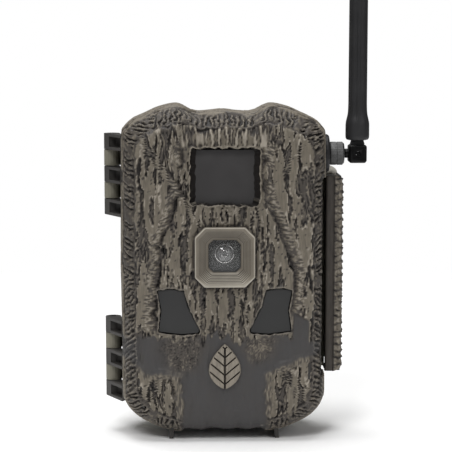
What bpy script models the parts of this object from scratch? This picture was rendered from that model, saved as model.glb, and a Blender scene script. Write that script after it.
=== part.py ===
"""Cellular trail camera: a hinged two-part housing with a side latch and a swivel antenna.

Axes: +X towards the antenna side, -Y out of the lens, +Z up.
The origin is the centre of the flat mounting face on the back. Every length below is in
millimetres. The pieces are made in millimetres too, and scaled to metres once, at the end.
"""
import math

import bmesh
import bpy
from mathutils import Matrix, Vector

MM = 0.001
GAP = 0.3                     # clearance between pieces that touch
WELD = 0.002                  # points closer than this are one point after a Boolean

# ---------------------------------------------------------------- driving dimensions
HALF_WIDTH = 52.0             # housing, across
HALF_HEIGHT = 84.0            # housing, nominal
BACK_PLATE = -12.0            # outer back face of the rear case
SEAM = -38.0                  # where the two halves meet
COVER_RIM = SEAM - 0.4        # rear edge of the front cover
COVER_FACE = -70.5            # outer face of the front cover
COVER_INNER = -68.1           # inner face of the front cover
FOOT_LEVEL = -86.5            # what the camera stands on

# Right half of the housing outline (x, z), from the top centre round to the bottom centre.
OUTLINE = (
    (0.0, 81.8), (7.0, 81.1), (13.0, 80.7), (17.0, 81.7), (20.5, 83.6), (25.0, 84.7),
    (33.0, 82.9), (40.0, 79.8), (46.0, 77.1), (50.0, 73.4), (51.8, 68.5), (52.0, 45.0),
    (52.4, 0.0), (51.8, -35.0), (52.0, -62.0), (50.9, -67.5), (47.9, -72.3), (42.6, -76.7),
    (32.7, -81.2), (27.4, -82.6), (21.5, -83.3), (0.0, -83.3),
)

HINGE_X, HINGE_Y = -57.2, -36.0
HINGE_RADIUS = 4.1
HINGE_PIN_RADIUS = 1.5
HINGE_BOTTOMS = {"upper": 27.4, "lower": -68.4}
KNUCKLE = 8.1                 # height of one knuckle
KNUCKLE_PITCH = 8.45
KNUCKLES = 5

LATCH_X, LATCH_Y = 56.5, -31.5
LATCH_BOTTOM, LATCH_TOP = -53.6, 47.8
LATCH_BARREL = 3.0
LATCH_PIN_RADIUS = 1.1
LATCH_LOWER_EAR = (-49.4, -45.2)
LATCH_LEDGE = ((51.0, -36.9), (53.6, -34.4))   # x and y of two corners; it closes the gap behind
CATCH_FIRST, CATCH_PITCH, CATCH_COUNT = 42.8, -9.1, 11

ANTENNA_Y, ANTENNA_Z = -49.0, 59.5
FLANGE = (51.1, 53.9)         # the antenna socket's flange on the cover's side
THREAD_END = 60.8             # outer end of the antenna socket's threaded stem
NUT = (54.2, 61.7)            # knurled nut, inner and outer end
ELBOW_STEM = 62.1             # inner end of the elbow's stem
ELBOW_X = 68.6                # tilt axis
ELBOW_HALF = 4.6
PIVOT_PIN_RADIUS = 0.9
WHIP_TOP = 229.0

WINDOW = (-17.1, 17.1, 35.0, 63.9)      # infrared window opening: x, x, z, z
LENS_Z = 9.0
# Outline of the right-hand motion-sensor window; the left one is its mirror image.
PIR_OUTLINE = (
    (34.3, -7.9), (27.6, -6.8), (20.8, -8.0), (18.5, -16.0), (12.6, -28.3),
    (13.0, -30.1), (22.0, -31.0), (33.8, -29.4), (32.6, -18.0),
)
BADGE_Z = -48.0

PANEL = (-41.6, -39.6)        # control panel, y
BOARD = (-46.2, -44.6)        # main board, y
CONTROL_TOP = -38.9           # how far keys, switch and screw heads reach
PANEL_SCREWS = ((-38.0, 69.0), (38.0, 69.0), (-39.5, -65.5), (39.5, -65.5))

CELL_RADIUS, CELL_LENGTH = 7.1, 50.0
CELL_PITCH = 15.6
CELL_Y = -27.2
TRAY_FLOOR, TRAY_FRONT = -18.9, -36.8

# ---------------------------------------------------------------- materials
MATERIALS = {}


def material(name, colour, roughness, metallic=0.0):
    """One Principled material for each name, made once."""
    if name not in MATERIALS:
        made = bpy.data.materials.new(name)
        made.use_nodes = True
        shader = made.node_tree.nodes["Principled BSDF"]
        shader.inputs["Base Color"].default_value = (*colour, 1.0)
        shader.inputs["Roughness"].default_value = roughness
        shader.inputs["Metallic"].default_value = metallic
        made.diffuse_color = (*colour, 1.0)
        MATERIALS[name] = made
    return MATERIALS[name]


# ---------------------------------------------------------------- mesh helpers
def new_object(name, bm, look=None, smooth=None):
    """Turn a bmesh into an object, still in millimetres."""
    bmesh.ops.recalc_face_normals(bm, faces=bm.faces)
    mesh = bpy.data.meshes.new(name)
    bm.to_mesh(mesh)
    bm.free()
    made = bpy.data.objects.new(name, mesh)
    bpy.context.scene.collection.objects.link(made)
    if look:
        mesh.materials.append(material(name, *look))
    if smooth:
        mesh.shade_smooth()
        mesh.set_sharp_from_angle(angle=math.radians(smooth))
    return made


def stack(name, rings, look=None, smooth=None, loop=False):
    """Skin rings of points that all have the same count; loop joins the last to the first."""
    bm = bmesh.new()
    rows = [[bm.verts.new(point) for point in ring] for ring in rings]
    count = len(rows[0])
    pairs = list(zip(rows, rows[1:]))
    if loop:
        pairs.append((rows[-1], rows[0]))
    else:
        bm.faces.new(rows[0])
        bm.faces.new(rows[-1])
    for near, far in pairs:
        for i in range(count):
            j = (i + 1) % count
            bm.faces.new((near[i], near[j], far[j], far[i]))
    return new_object(name, bm, look, smooth)


def prism(name, points, axis, low, high, look=None, smooth=None):
    """Extrude a flat outline along an axis; points are the other two coordinates in order."""
    def place(point, level):
        spot = list(point)
        spot.insert("xyz".index(axis), level)
        return spot
    rings = [[place(point, level) for point in points] for level in (low, high)]
    return stack(name, rings, look, smooth)


def box(name, low, high, look=None, bevel=0.0):
    """A block between two corners, with an optional chamfer on every edge."""
    bm = bmesh.new()
    size = Vector(high) - Vector(low)
    centre = (Vector(high) + Vector(low)) / 2
    scale = Matrix.Diagonal((*size, 1.0))
    bmesh.ops.create_cube(bm, size=1.0, matrix=Matrix.Translation(centre) @ scale)
    if bevel:
        bmesh.ops.bevel(bm, geom=bm.edges[:], offset=bevel, segments=1, affect="EDGES")
    return new_object(name, bm, look)


def turned(name, profile, axis, centre, look=None, segments=24, smooth=40):
    """Turn (radius, position) points round an axis; a profile that starts off it is closed."""
    along = "xyz".index(axis)
    others = [i for i in range(3) if i != along]
    bm = bmesh.new()
    rows = []
    for radius, level in profile:
        row = []
        for i in range(segments if radius else 1):
            turn = 2 * math.pi * i / segments
            spot = [0.0, 0.0, 0.0]
            spot[along] = level
            spot[others[0]] = centre[0] + radius * math.cos(turn)
            spot[others[1]] = centre[1] + radius * math.sin(turn)
            row.append(bm.verts.new(spot))
        rows.append(row)
    pairs = list(zip(rows, rows[1:]))
    if len(rows[0]) > 1:
        pairs.append((rows[-1], rows[0]))
    for near, far in pairs:
        for i in range(segments):
            j = (i + 1) % segments
            corners = [near[i % len(near)], near[j % len(near)], far[j % len(far)], far[i % len(far)]]
            bm.faces.new(list(dict.fromkeys(corners)))
    return new_object(name, bm, look, smooth)


def rod(name, axis, centre, low, high, radius, look=None, segments=24):
    """A plain round bar along an axis."""
    profile = ((0.0, low), (radius, low), (radius, high), (0.0, high))
    return turned(name, profile, axis, centre, look, segments)


def tube(name, axis, centre, low, high, outer, inner, look=None, segments=24):
    """A plain round sleeve along an axis."""
    profile = ((inner, low), (outer, low), (outer, high), (inner, high))
    return turned(name, profile, axis, centre, look, segments)


def combine(target, operation, tools, smooth=None):
    """Apply Boolean steps to the target one after another and drop the tools."""
    for tool in tools:
        step = target.modifiers.new(operation, "BOOLEAN")
        step.operation = operation
        step.solver = "EXACT"
        step.object = tool
    graph = bpy.context.evaluated_depsgraph_get()
    plain = target.data
    target.data = bpy.data.meshes.new_from_object(target.evaluated_get(graph))
    target.modifiers.clear()
    bpy.data.meshes.remove(plain)
    bm = bmesh.new()
    bm.from_mesh(target.data)
    bmesh.ops.remove_doubles(bm, verts=bm.verts, dist=WELD)
    bm.to_mesh(target.data)
    bm.free()
    for tool in tools:
        bpy.data.objects.remove(tool, do_unlink=True)
    if smooth:
        target.data.shade_smooth()
        target.data.set_sharp_from_angle(angle=math.radians(smooth))
    return target


def cut(target, *tools):
    return combine(target, "DIFFERENCE", tools)


def fuse(target, *tools):
    return combine(target, "UNION", tools)


# ---------------------------------------------------------------- outlines
def housing_outline():
    return list(OUTLINE) + [(-x, z) for x, z in reversed(OUTLINE[1:-1])]


def housing_ring(y, inset):
    """The housing outline drawn in by inset, at depth y."""
    across, upright = 1 - inset / HALF_WIDTH, 1 - inset / HALF_HEIGHT
    return [(x * across, y, z * upright) for x, z in housing_outline()]


def octagon(half, chamfer, y, z=LENS_Z):
    """A square with cut corners, facing forwards, round the lens axis."""
    run = half - chamfer
    corners = ((-run, half), (run, half), (half, run), (half, -run),
               (run, -half), (-run, -half), (-half, -run), (-half, run))
    return [(a, y, z + b) for a, b in corners]


def spread(points, distance):
    """Move an outline outwards from its own middle by about this distance."""
    middle = sum((Vector(point) for point in points), Vector((0.0, 0.0))) / len(points)
    moved = []
    for point in points:
        away = Vector(point) - middle
        moved.append(tuple(middle + away * (1 + distance / away.length)))
    return moved


# ---------------------------------------------------------------- looks
TAN = ((0.27, 0.245, 0.20), 0.55)
BARK = ((0.15, 0.135, 0.115), 0.7)
BLACK_PLASTIC = ((0.02, 0.02, 0.022), 0.4)
SMOKED = ((0.03, 0.03, 0.033), 0.2)
RUBBER = ((0.03, 0.03, 0.03), 0.8)
STEEL = ((0.6, 0.6, 0.62), 0.3, 1.0)
BRASS = ((0.75, 0.55, 0.25), 0.35, 1.0)
BOARD_GREEN = ((0.02, 0.16, 0.07), 0.45)
GLASS = ((0.35, 0.37, 0.4), 0.05)
FILTER_GLASS = ((0.3, 0.1, 0.14), 0.1)
SENSOR_CHIP = ((0.05, 0.06, 0.09), 0.15)
CARD_PLASTIC = ((0.02, 0.03, 0.08), 0.4)
NUT_METAL = ((0.12, 0.12, 0.125), 0.4, 0.6)
ELBOW_PLASTIC = ((0.012, 0.012, 0.013), 0.25)
WHIP_PLASTIC = ((0.03, 0.03, 0.032), 0.45)


# ---------------------------------------------------------------- hinges
def hinge_levels(which):
    """Bottom and top of each knuckle of one hinge."""
    base = HINGE_BOTTOMS[which]
    return [(base + i * KNUCKLE_PITCH, base + i * KNUCKLE_PITCH + KNUCKLE) for i in range(KNUCKLES)]


def hinge_bore():
    low = HINGE_BOTTOMS["lower"] - 2
    high = HINGE_BOTTOMS["upper"] + KNUCKLES * KNUCKLE_PITCH + 2
    return rod("bore", "z", (HINGE_X, HINGE_Y), low, high, HINGE_PIN_RADIUS + GAP, segments=12)


def cover_knuckles():
    """The front cover's knuckles: a round end on an arm whose front is a pocket."""
    arm = (
        (HINGE_X + 3.6, HINGE_Y - 0.4), (HINGE_X - 2.6, HINGE_Y), (HINGE_X - 3.9, HINGE_Y - 1.4),
        (-52.6, -54.0), (-50.4, -54.0), (-50.4, -39.6), (-52.9, -38.8),
    )
    pocket = ((-58.6, -41.4), (-55.2, -40.6), (-52.6, -42.6), (-52.6, -60.0), (-58.6, -60.0))
    rib = 1.4
    made = []
    for which in HINGE_BOTTOMS:
        for low, high in hinge_levels(which)[::2]:
            part = rod("knuckle", "z", (HINGE_X, HINGE_Y), low, high, HINGE_RADIUS, segments=18)
            fuse(part, prism("arm", arm, "z", low, high))
            cut(part, prism("pocket", pocket, "z", low + rib, high - rib))
            made.append(part)
    return made


def case_knuckles():
    """The rear case's knuckles: a round end on a web that runs back to the case wall."""
    made = []
    for which in HINGE_BOTTOMS:
        for low, high in hinge_levels(which)[1::2]:
            part = rod("knuckle", "z", (HINGE_X, HINGE_Y), low, high, HINGE_RADIUS, segments=18)
            front = HINGE_Y + 0.5
            web = ((HINGE_X - 1.0, front), (-50.7, front), (-50.7, -25.0), (-53.0, -25.0))
            made.append(fuse(part, prism("web", web, "z", low, high)))
    return made


def make_hinge_pins():
    for which in HINGE_BOTTOMS:
        levels = hinge_levels(which)
        rod(f"hinge_pin_{which}", "z", (HINGE_X, HINGE_Y), levels[0][0] + 1.0, levels[-1][1] - 1.0,
            HINGE_PIN_RADIUS, STEEL, segments=16)


# ---------------------------------------------------------------- rear case
STRAP_SLOT = (20.0, 47.0)      # height band of the upper strap slots; the lower pair mirrors it
RAIL = (18.0, 30.0)            # mounting rails, across
RAIL_END = 56.0
CABLE_TUNNEL_RADIUS = 5.5
INSERT_Y, INSERT_TOP, INSERT_BOTTOM = -24.0, -72.6, -82.0
JACK_X, JACK_Y = 15.0, -24.0
FLAP_HINGE_Y = -17.2


def fin(name, x, y_front, y_back):
    """A thin foot fin under the housing."""
    shape = ((y_front, -80.6), (y_front + 0.8, FOOT_LEVEL), (y_back - 0.8, FOOT_LEVEL), (y_back, -80.6))
    return prism(name, shape, "x", x - 1.1, x + 1.1)


def mounting_rails():
    """Two toothed rails and a cross block that press on the tree."""
    parts = []
    for side in (-1, 1):
        inner, outer = sorted((side * RAIL[0], side * RAIL[1]))
        rail = box("rail", (inner, BACK_PLATE - 1.5, -RAIL_END), (outer, 0.0, RAIL_END), bevel=0.8)
        for end in (-1, 1):
            for tooth in range(3):
                middle = end * (RAIL_END - 4.0 - tooth * 3.4)
                vee = ((0.6, middle - 1.9), (-2.4, middle), (0.6, middle + 1.9))
                cut(rail, prism("vee", vee, "x", inner - 1, outer + 1))
            low, high = sorted((end * STRAP_SLOT[0], end * STRAP_SLOT[1]))
            cut(rail, box("strap", (inner - 1, -8.6, low), (outer + 1, -3.4, high)))
        parts.append(rail)
    parts.append(box("block", (-RAIL[0] - 2, BACK_PLATE - 1.5, -13.0), (RAIL[0] + 2, 0.0, 13.0)))
    return parts


def make_rear_case():
    outer = ((SEAM, 0.0), (-30.0, 0.2), (-22.0, 1.4), (-16.5, 4.2), (-13.2, 8.0), (BACK_PLATE, 12.0))
    inner = ((SEAM, 2.4), (-35.7, 2.4), (-35.7, 5.0), (-33.8, 5.0), (-32.4, 2.8), (-22.0, 4.0),
             (-17.5, 7.6), (-14.6, 13.0))
    rings = [housing_ring(y, inset) for y, inset in reversed(inner)]
    rings += [housing_ring(y, inset) for y, inset in outer]
    case = stack("rear_case", rings, TAN)
    fuse(case, *mounting_rails())
    cut(case, rod("tunnel", "x", (-6.2, 0.0), -45.0, 45.0, CABLE_TUNNEL_RADIUS, segments=20))
    fuse(case, *case_knuckles())
    cut(case, hinge_bore())
    # The latch turns between a domed ear at its top and a short ear near its foot.
    height = 4.2
    radius = 6.6
    arc = [(radius * math.cos(t), LATCH_TOP + GAP + height * math.sin(t))
           for t in (math.pi / 2 * i / 6 for i in range(6))]
    profile = [(0.0, LATCH_TOP + GAP), *arc, (0.0, LATCH_TOP + GAP + height)]
    dome = turned("dome", profile, "z", (53.6, LATCH_Y), segments=20)
    cut(dome, box("trim", (40.0, -50.0, 40.0), (50.7, -10.0, 60.0)))
    low, high = LATCH_LOWER_EAR
    ear = rod("ear", "z", (LATCH_X, LATCH_Y), low, high, LATCH_BARREL)
    fuse(ear, box("web", (50.7, LATCH_Y - 2.4, low), (LATCH_X, LATCH_Y + 2.4, high)))
    (ledge_left, ledge_front), (ledge_right, ledge_back) = LATCH_LEDGE
    ledge = box("ledge", (ledge_left, ledge_front, LATCH_BOTTOM),
                (ledge_right, ledge_back, LATCH_TOP + GAP + 0.5))
    fuse(case, dome, ear, ledge)
    cut(case, rod("pin_hole", "z", (LATCH_X, LATCH_Y), low - 1, LATCH_TOP + 2.8, LATCH_PIN_RADIUS + GAP,
                  segments=16))
    # The floor carries the tripod insert's boss, the power jack's hole and two foot fins.
    fuse(case, rod("boss", "z", (0.0, INSERT_Y), -82.6, INSERT_TOP + 2.0, 6.8, segments=20))
    cut(case, rod("insert_hole", "z", (0.0, INSERT_Y), -90.0, INSERT_TOP + GAP, 4.6 + GAP, segments=18),
        rod("jack_hole", "z", (JACK_X, JACK_Y), -90.0, -70.0, 3.9 + GAP, segments=16))
    fuse(case, fin("fin", -27.3, -33.5, -18.0), fin("fin", 27.3, -33.5, -18.0))
    case.data.shade_smooth()
    case.data.set_sharp_from_angle(angle=math.radians(35))


def make_gasket():
    rings = [housing_ring(-36.0, 2.7), housing_ring(SEAM - 0.05, 2.7),
             housing_ring(SEAM - 0.05, 4.6), housing_ring(-36.0, 4.6)]
    stack("case_gasket", rings, ((0.35, 0.10, 0.03), 0.7), loop=True)


def make_tripod_insert():
    tube("tripod_insert", "z", (0.0, INSERT_Y), INSERT_BOTTOM, INSERT_TOP, 4.6, 3.2, BRASS)


def make_power_jack():
    """A barrel jack: a sleeve with a centre pin on its closed inner end."""
    profile = ((0.0, -69.5), (3.9, -69.5), (3.9, -81.6), (2.9, -81.6), (2.9, -72.0), (0.8, -72.0),
               (0.8, -79.0), (0.0, -79.0))
    turned("dc_jack", profile, "z", (JACK_X, JACK_Y), BLACK_PLASTIC, segments=16)


def make_port_flap():
    """A rubber flap over the power jack, hinged along its rear edge."""
    flap = box("dc_port_flap", (JACK_X - 6.5, -30.0, -85.2), (JACK_X + 6.5, FLAP_HINGE_Y + 0.8, -83.7),
               RUBBER, bevel=0.3)
    return flap


# ---------------------------------------------------------------- batteries
def cell_columns():
    return [(i - 1.5) * CELL_PITCH for i in range(4)]


def make_battery_tray():
    half_width = 1.5 * CELL_PITCH + CELL_RADIUS + 2.0
    half_height = 58.0
    tray = box("battery_tray", (-half_width, TRAY_FRONT, -half_height), (half_width, -14.9, half_height),
               BLACK_PLASTIC)
    pocket = CELL_RADIUS + 0.3
    for x in cell_columns():
        cut(tray, box("pocket", (x - pocket, TRAY_FRONT - 1, -56.2), (x + pocket, TRAY_FLOOR, 56.2)))
    for end in (-1, 1):
        low, high = sorted((end * 54.6, end * 56.1))
        left, right = cell_columns()[0], cell_columns()[-1]
        cut(tray, box("strip_slot", (left, -33.0, low), (right, -20.5, high)))


def make_cells():
    """Eight AA cells, two end to end in each of four channels, alternating in direction."""
    body = CELL_LENGTH - 1.2
    number = 0
    for column, x in enumerate(cell_columns()):
        up = 1 if column % 2 == 0 else -1
        for foot in (0.3, -CELL_LENGTH - 0.3):
            number += 1
            steps = ((0.0, 0.0), (CELL_RADIUS - 0.4, 0.0), (CELL_RADIUS, 0.4), (CELL_RADIUS, body - 0.4),
                     (CELL_RADIUS - 0.4, body), (2.7, body), (2.7, CELL_LENGTH), (0.0, CELL_LENGTH))
            start = foot if up > 0 else foot + CELL_LENGTH
            profile = [(radius, start + up * level) for radius, level in steps]
            turned(f"battery_cell_{number}", profile, "z", (x, CELL_Y), ((0.55, 0.33, 0.12), 0.3, 0.8),
                   segments=14)


def make_contact_strips():
    """A plate with four spring cones at each end of the tray."""
    for name, end in (("contact_strip_top", 1), ("contact_strip_bottom", -1)):
        left, right = cell_columns()[0], cell_columns()[-1]
        plate_ends = sorted((end * 55.0, end * 55.8))
        strip = box(name, (left + 0.4, -32.5, plate_ends[0]), (right - 0.4, -21.2, plate_ends[1]), STEEL)
        for x in cell_columns():
            shift = 4.2 if x < 0 else -4.2
            centre = x + (shift if abs(x) > CELL_PITCH else 0.0)
            tip, root = end * 50.9, end * 55.4
            fuse(strip, turned("spring", ((0.0, tip), (2.4, tip), (3.4, root), (0.0, root)), "z",
                               (centre, CELL_Y), segments=12))


def make_power_contacts():
    """Sprung pins on the control panel meet two pads on the tray when the case is shut."""
    pad_front, pad_back = TRAY_FRONT - 0.9, TRAY_FRONT - 0.1 - GAP / 2
    box("power_contact_pads", (-7.0, pad_front, -57.7), (7.0, pad_back, -56.6), STEEL)
    pins = box("power_contact_block", (-9.0, -42.4, -62.0), (9.0, -39.0, -54.0), BLACK_PLASTIC)
    for x in (-4.5, 4.5):
        fuse(pins, rod("pin", "y", (x, -57.1), -39.5, pad_front - GAP, 0.5, segments=10))


# ---------------------------------------------------------------- front cover
def latch_recess():
    return box("recess", (49.2, -80.0, LATCH_BOTTOM - 0.9), (70.0, SEAM + 5, LATCH_TOP + 0.3))


def catch_ribs():
    """Short ribs on the cover's edge that the latch hook bears on."""
    levels = [CATCH_FIRST + i * CATCH_PITCH for i in range(CATCH_COUNT)]
    return [box("rib", (48.6, -47.2, z - 0.9), (51.9, -42.0, z + 0.9)) for z in levels]


def make_front_cover():
    outer = ((COVER_RIM, 0.0), (-50.0, 0.2), (-58.0, 0.8), (-64.0, 2.4), (-68.0, 5.2), (-70.0, 8.6),
             (COVER_FACE, 11.5))
    inner = ((COVER_RIM, 5.0), (-41.0, 5.0), (-41.0, 2.6), (-57.0, 3.2), (-63.5, 5.2), (-67.0, 9.0),
             (COVER_INNER, 12.5))
    rings = [housing_ring(y, inset) for y, inset in reversed(inner)]
    rings += [housing_ring(y, inset) for y, inset in outer]
    cover = stack("front_cover", rings, BARK)
    # The latch sits in a recess down the right side, with a second wall behind it.
    fuse(cover, box("inner_wall", (46.8, -66.0, LATCH_BOTTOM - 3.4), (49.9, -40.5, LATCH_TOP + 2.7)))
    cut(cover, latch_recess())
    fuse(cover, *catch_ribs())
    fuse(cover, *cover_knuckles())
    cut(cover, hinge_bore())
    # Antenna flange seat and the hole for its stem.
    axis = (ANTENNA_Y, ANTENNA_Z)
    cut(cover, rod("seat", "x", axis, 50.8, 60.0, 10.15, segments=24))
    cut(cover, rod("stem_hole", "x", axis, 40.0, 60.0, 3.75))
    # Openings in the face.
    left, right, low, high = WINDOW
    cut(cover, box("window", (left, -80.0, low), (right, -60.0, high)))
    cut(cover, stack("bezel_hole", [octagon(12.95, 4.2, y) for y in (-80.0, -60.0)]))
    for side in (-1, 1):
        shape = [(side * x, z) for x, z in PIR_OUTLINE]
        cut(cover, prism("pir_hole", shape, "y", -80.0, -60.0))
    for x, z in PANEL_SCREWS:
        fuse(cover, rod("boss", "y", (x, z), -69.0, PANEL[0] - GAP, 3.6, segments=16))
        cut(cover, rod("pilot", "y", (x, z), -62.0, -30.0, 1.6, segments=12))
    fuse(cover, fin("fin", -27.3, -62.0, -44.0), fin("fin", 27.3, -62.0, -44.0))
    cover.data.shade_smooth()
    cover.data.set_sharp_from_angle(angle=math.radians(35))


def leaf_outline():
    """A plain pointed leaf with a short stalk, upright."""
    points = []
    steps = 12
    for side in (1, -1):
        for i in range(steps):
            t = i / steps if side > 0 else 1 - i / steps
            width = 8.2 * math.sin(math.pi * t ** 0.8) ** 0.85
            points.append((side * max(width, 0.7), BADGE_Z - 11.0 + 24.0 * t))
    return points


def make_badge():
    prism("leaf_badge", leaf_outline(), "y", -72.0, COVER_FACE - GAP, TAN)


# ---------------------------------------------------------------- optics
def make_infrared_unit():
    left, right, low, high = WINDOW
    box("ir_window", (left - 2.0, -67.8, low - 2.0), (right + 2.0, -65.8, high + 2.0), SMOKED, bevel=0.3)
    box("ir_led_board", (left, -60.5, low - 1.0), (right, -59.0, high + 1.0), BOARD_GREEN)
    holder = box("ir_led_array", (left, -62.6, low - 1.0), (right, -60.8, high + 1.0), BLACK_PLASTIC)
    rows, columns = 4, 5
    for row in range(rows):
        for column in range(columns):
            x = left + (right - left) * (column + 0.5) / columns
            z = low + (high - low) * (row + 0.5) / rows
            profile = ((0.0, -62.0), (2.4, -62.0), (2.4, -63.9), (1.5, -65.0), (0.0, -65.4))
            fuse(holder, turned("led", profile, "y", (x, z), segments=6))


def make_lens_unit():
    """Bezel, cover pane, lens, barrel, and the sensor holder with its sliding filter."""
    profile = (
        (15.2, 5.0, COVER_FACE - GAP), (15.2, 5.0, -73.0), (14.7, 4.8, -73.6), (13.6, 4.4, -73.6),
        (13.0, 4.2, -72.4), (9.4, 3.0, -68.2), (8.3, 2.4, -67.4), (8.3, 2.4, -66.2),
        (9.7, 2.8, -66.2), (9.7, 2.8, -62.0), (12.6, 4.1, -62.0), (12.6, 4.1, COVER_FACE - GAP),
    )
    stack("lens_bezel", [octagon(*ring) for ring in profile], TAN, loop=True)
    stack("lens_window", [octagon(9.4, 2.7, y) for y in (-65.9, -64.7)], GLASS)
    axis = (0.0, LENS_Z)
    turns = [math.pi / 2 * i / 6 for i in range(6)]
    dome = [(4.6 * math.cos(t), -62.4 - 1.8 * math.sin(t)) for t in turns]
    turned("lens_element", [(0.0, -60.9), (4.6, -60.9), *dome, (0.0, -64.2)], "y", axis, GLASS)
    barrel = ((3.2, -53.1), (6.2, -53.1), (6.2, -58.0), (7.6, -58.6), (7.6, -62.2), (5.0, -62.2),
              (5.0, -60.5), (3.2, -60.5))
    turned("lens_barrel", barrel, "y", axis, BLACK_PLASTIC)
    holder = box("sensor_holder", (-9.0, -52.8, LENS_Z - 9.0), (9.0, -46.5, LENS_Z + 9.0), BLACK_PLASTIC)
    cut(holder, rod("light_path", "y", axis, -55.0, -45.0, 4.6))
    cut(holder, box("filter_slot", (-12.0, -50.8, LENS_Z - 5.4), (12.0, -49.4, LENS_Z + 5.4)))
    box("ir_cut_filter", (-5.0, -50.5, LENS_Z - 5.0), (5.0, -49.7, LENS_Z + 5.0), FILTER_GLASS)
    box("image_sensor", (-3.4, -47.8, LENS_Z - 2.6), (3.4, -46.5, LENS_Z + 2.6), SENSOR_CHIP)


def make_motion_sensors():
    for side, name in ((-1, "left"), (1, "right")):
        shape = [(side * x, z) for x, z in PIR_OUTLINE]
        pane = prism(f"pir_window_{name}", spread(shape, 1.4), "y", COVER_INNER + GAP, -66.6, SMOKED)
        fuse(pane, prism("step", spread(shape, -0.6), "y", -69.9, -67.0))
        can = ((0.0, -46.5), (4.6, -46.5), (4.6, -47.3), (4.1, -47.3), (4.1, -50.7), (0.0, -50.7))
        turned(f"pir_sensor_{name}", can, "y", (side * 25.0, -19.0), STEEL, segments=20)


# ---------------------------------------------------------------- electronics
KEYS = {"up": (-22.0, 2.0), "down": (-22.0, -18.0), "left": (-32.0, -8.0), "right": (-12.0, -8.0),
        "ok": (-22.0, -8.0)}
KEY_RADIUS = 3.4
SWITCH_X, SWITCH_Z = 26.0, 4.0
SWITCH_TRAVEL = 8.0
CARD = (16.0, 40.0, -38.0, -6.0)         # memory card: x, x, z, z
CARD_Y = (-43.9, -41.9)
CARD_TRAVEL = 18.0
MODEM = (-18.0, 14.0, -62.0, -34.0)


def make_main_board():
    box("main_board", (-42.0, BOARD[0], -60.0), (42.0, BOARD[1], 55.0), BOARD_GREEN)
    left, right, low, high = MODEM
    box("cell_modem", (left, -49.4, low + 3), (right, BOARD[0] - GAP, high), STEEL, bevel=0.4)


def make_card_and_socket():
    left, right, low, high = CARD
    front, back = CARD_Y
    box("sd_card", (left, front, low), (right, back, high), CARD_PLASTIC)
    socket = box("sd_socket", (left - 2.0, front - 0.4, low + 5.0),
                 (right + 2.0, PANEL[0] - 0.05, high + 2.0), STEEL)
    cut(socket, box("mouth", (left - GAP, front - GAP, low - 5.0),
                    (right + GAP, PANEL[0] + 5.0, high + GAP)))


def make_control_panel():
    rings = [housing_ring(y, 5.9) for y in PANEL]
    panel = stack("control_panel", rings, BLACK_PLASTIC)
    cut(panel, box("screen_hole", (-25.0, -50.0, 21.0), (25.0, -30.0, 55.0)))
    left, right, low, high = CARD
    cut(panel, box("card_window", (left - 3.0, -50.0, low - CARD_TRAVEL - 2.0),
                   (right + 3.0, -30.0, low + 5.0)))
    for x, z in KEYS.values():
        cut(panel, rod("key_hole", "y", (x, z), -50.0, -30.0, KEY_RADIUS + 0.35, segments=16))
    cut(panel, box("switch_slot", (SWITCH_X - 2.4, -50.0, SWITCH_Z - 1.6),
                   (SWITCH_X + 2.4 + SWITCH_TRAVEL, -30.0, SWITCH_Z + 1.6)))
    cut(panel, box("contact_hole", (-9.4, -50.0, -62.4), (9.4, -30.0, -53.6)))
    for x, z in PANEL_SCREWS:
        cut(panel, rod("screw_hole", "y", (x, z), -50.0, -30.0, 1.7, segments=16))
    for x, z in ((-36.0, 50.0), (36.0, 50.0), (-36.0, -54.0)):
        fuse(panel, rod("post", "y", (x, z), BOARD[1] + GAP, PANEL[0] + 0.5, 2.2, segments=12))


def make_panel_screws():
    for i, (x, z) in enumerate(PANEL_SCREWS, start=1):
        profile = ((0.0, -54.0), (1.3, -54.0), (1.3, PANEL[1] + GAP), (2.6, PANEL[1] + GAP),
                   (2.6, CONTROL_TOP), (0.0, CONTROL_TOP))
        turned(f"panel_screw_{i}", profile, "y", (x, z), STEEL, segments=16)


def make_screen():
    box("lcd_screen", (-28.0, -44.1, 18.0), (28.0, -41.9, 58.0), ((0.02, 0.03, 0.03), 0.1))


def make_keys():
    """Five round keys with a flange behind the panel that keeps them in."""
    made = {}
    flange, stop, chamfer = KEY_RADIUS + 0.9, PANEL[0] - GAP, 0.35
    profile = ((0.0, -42.9), (flange, -42.9), (flange, stop), (KEY_RADIUS, stop),
               (KEY_RADIUS, CONTROL_TOP - chamfer), (KEY_RADIUS - chamfer, CONTROL_TOP),
               (0.0, CONTROL_TOP))
    for name, centre in KEYS.items():
        made[name] = turned(f"key_{name}", profile, "y", centre, RUBBER, segments=16)
    return made


def make_power_switch():
    knob = box("power_switch", (SWITCH_X - 2.0, -42.2, SWITCH_Z - 1.2),
               (SWITCH_X + 2.0, CONTROL_TOP, SWITCH_Z + 1.2), BLACK_PLASTIC)
    fuse(knob, box("base", (SWITCH_X - 3.4, -43.4, SWITCH_Z - 2.8),
                   (SWITCH_X + 3.4, PANEL[0] - GAP, SWITCH_Z + 2.8)))
    return knob


# ---------------------------------------------------------------- antenna
def make_antenna_socket():
    near, far = FLANGE
    profile = ((0.0, 44.0), (3.4, 44.0), (3.4, near), (9.8, near), (9.8, far - 0.9), (9.1, far),
               (3.1, far), (3.1, THREAD_END), (0.0, THREAD_END))
    turned("antenna_socket", profile, "x", (ANTENNA_Y, ANTENNA_Z), BLACK_PLASTIC, segments=24)


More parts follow.
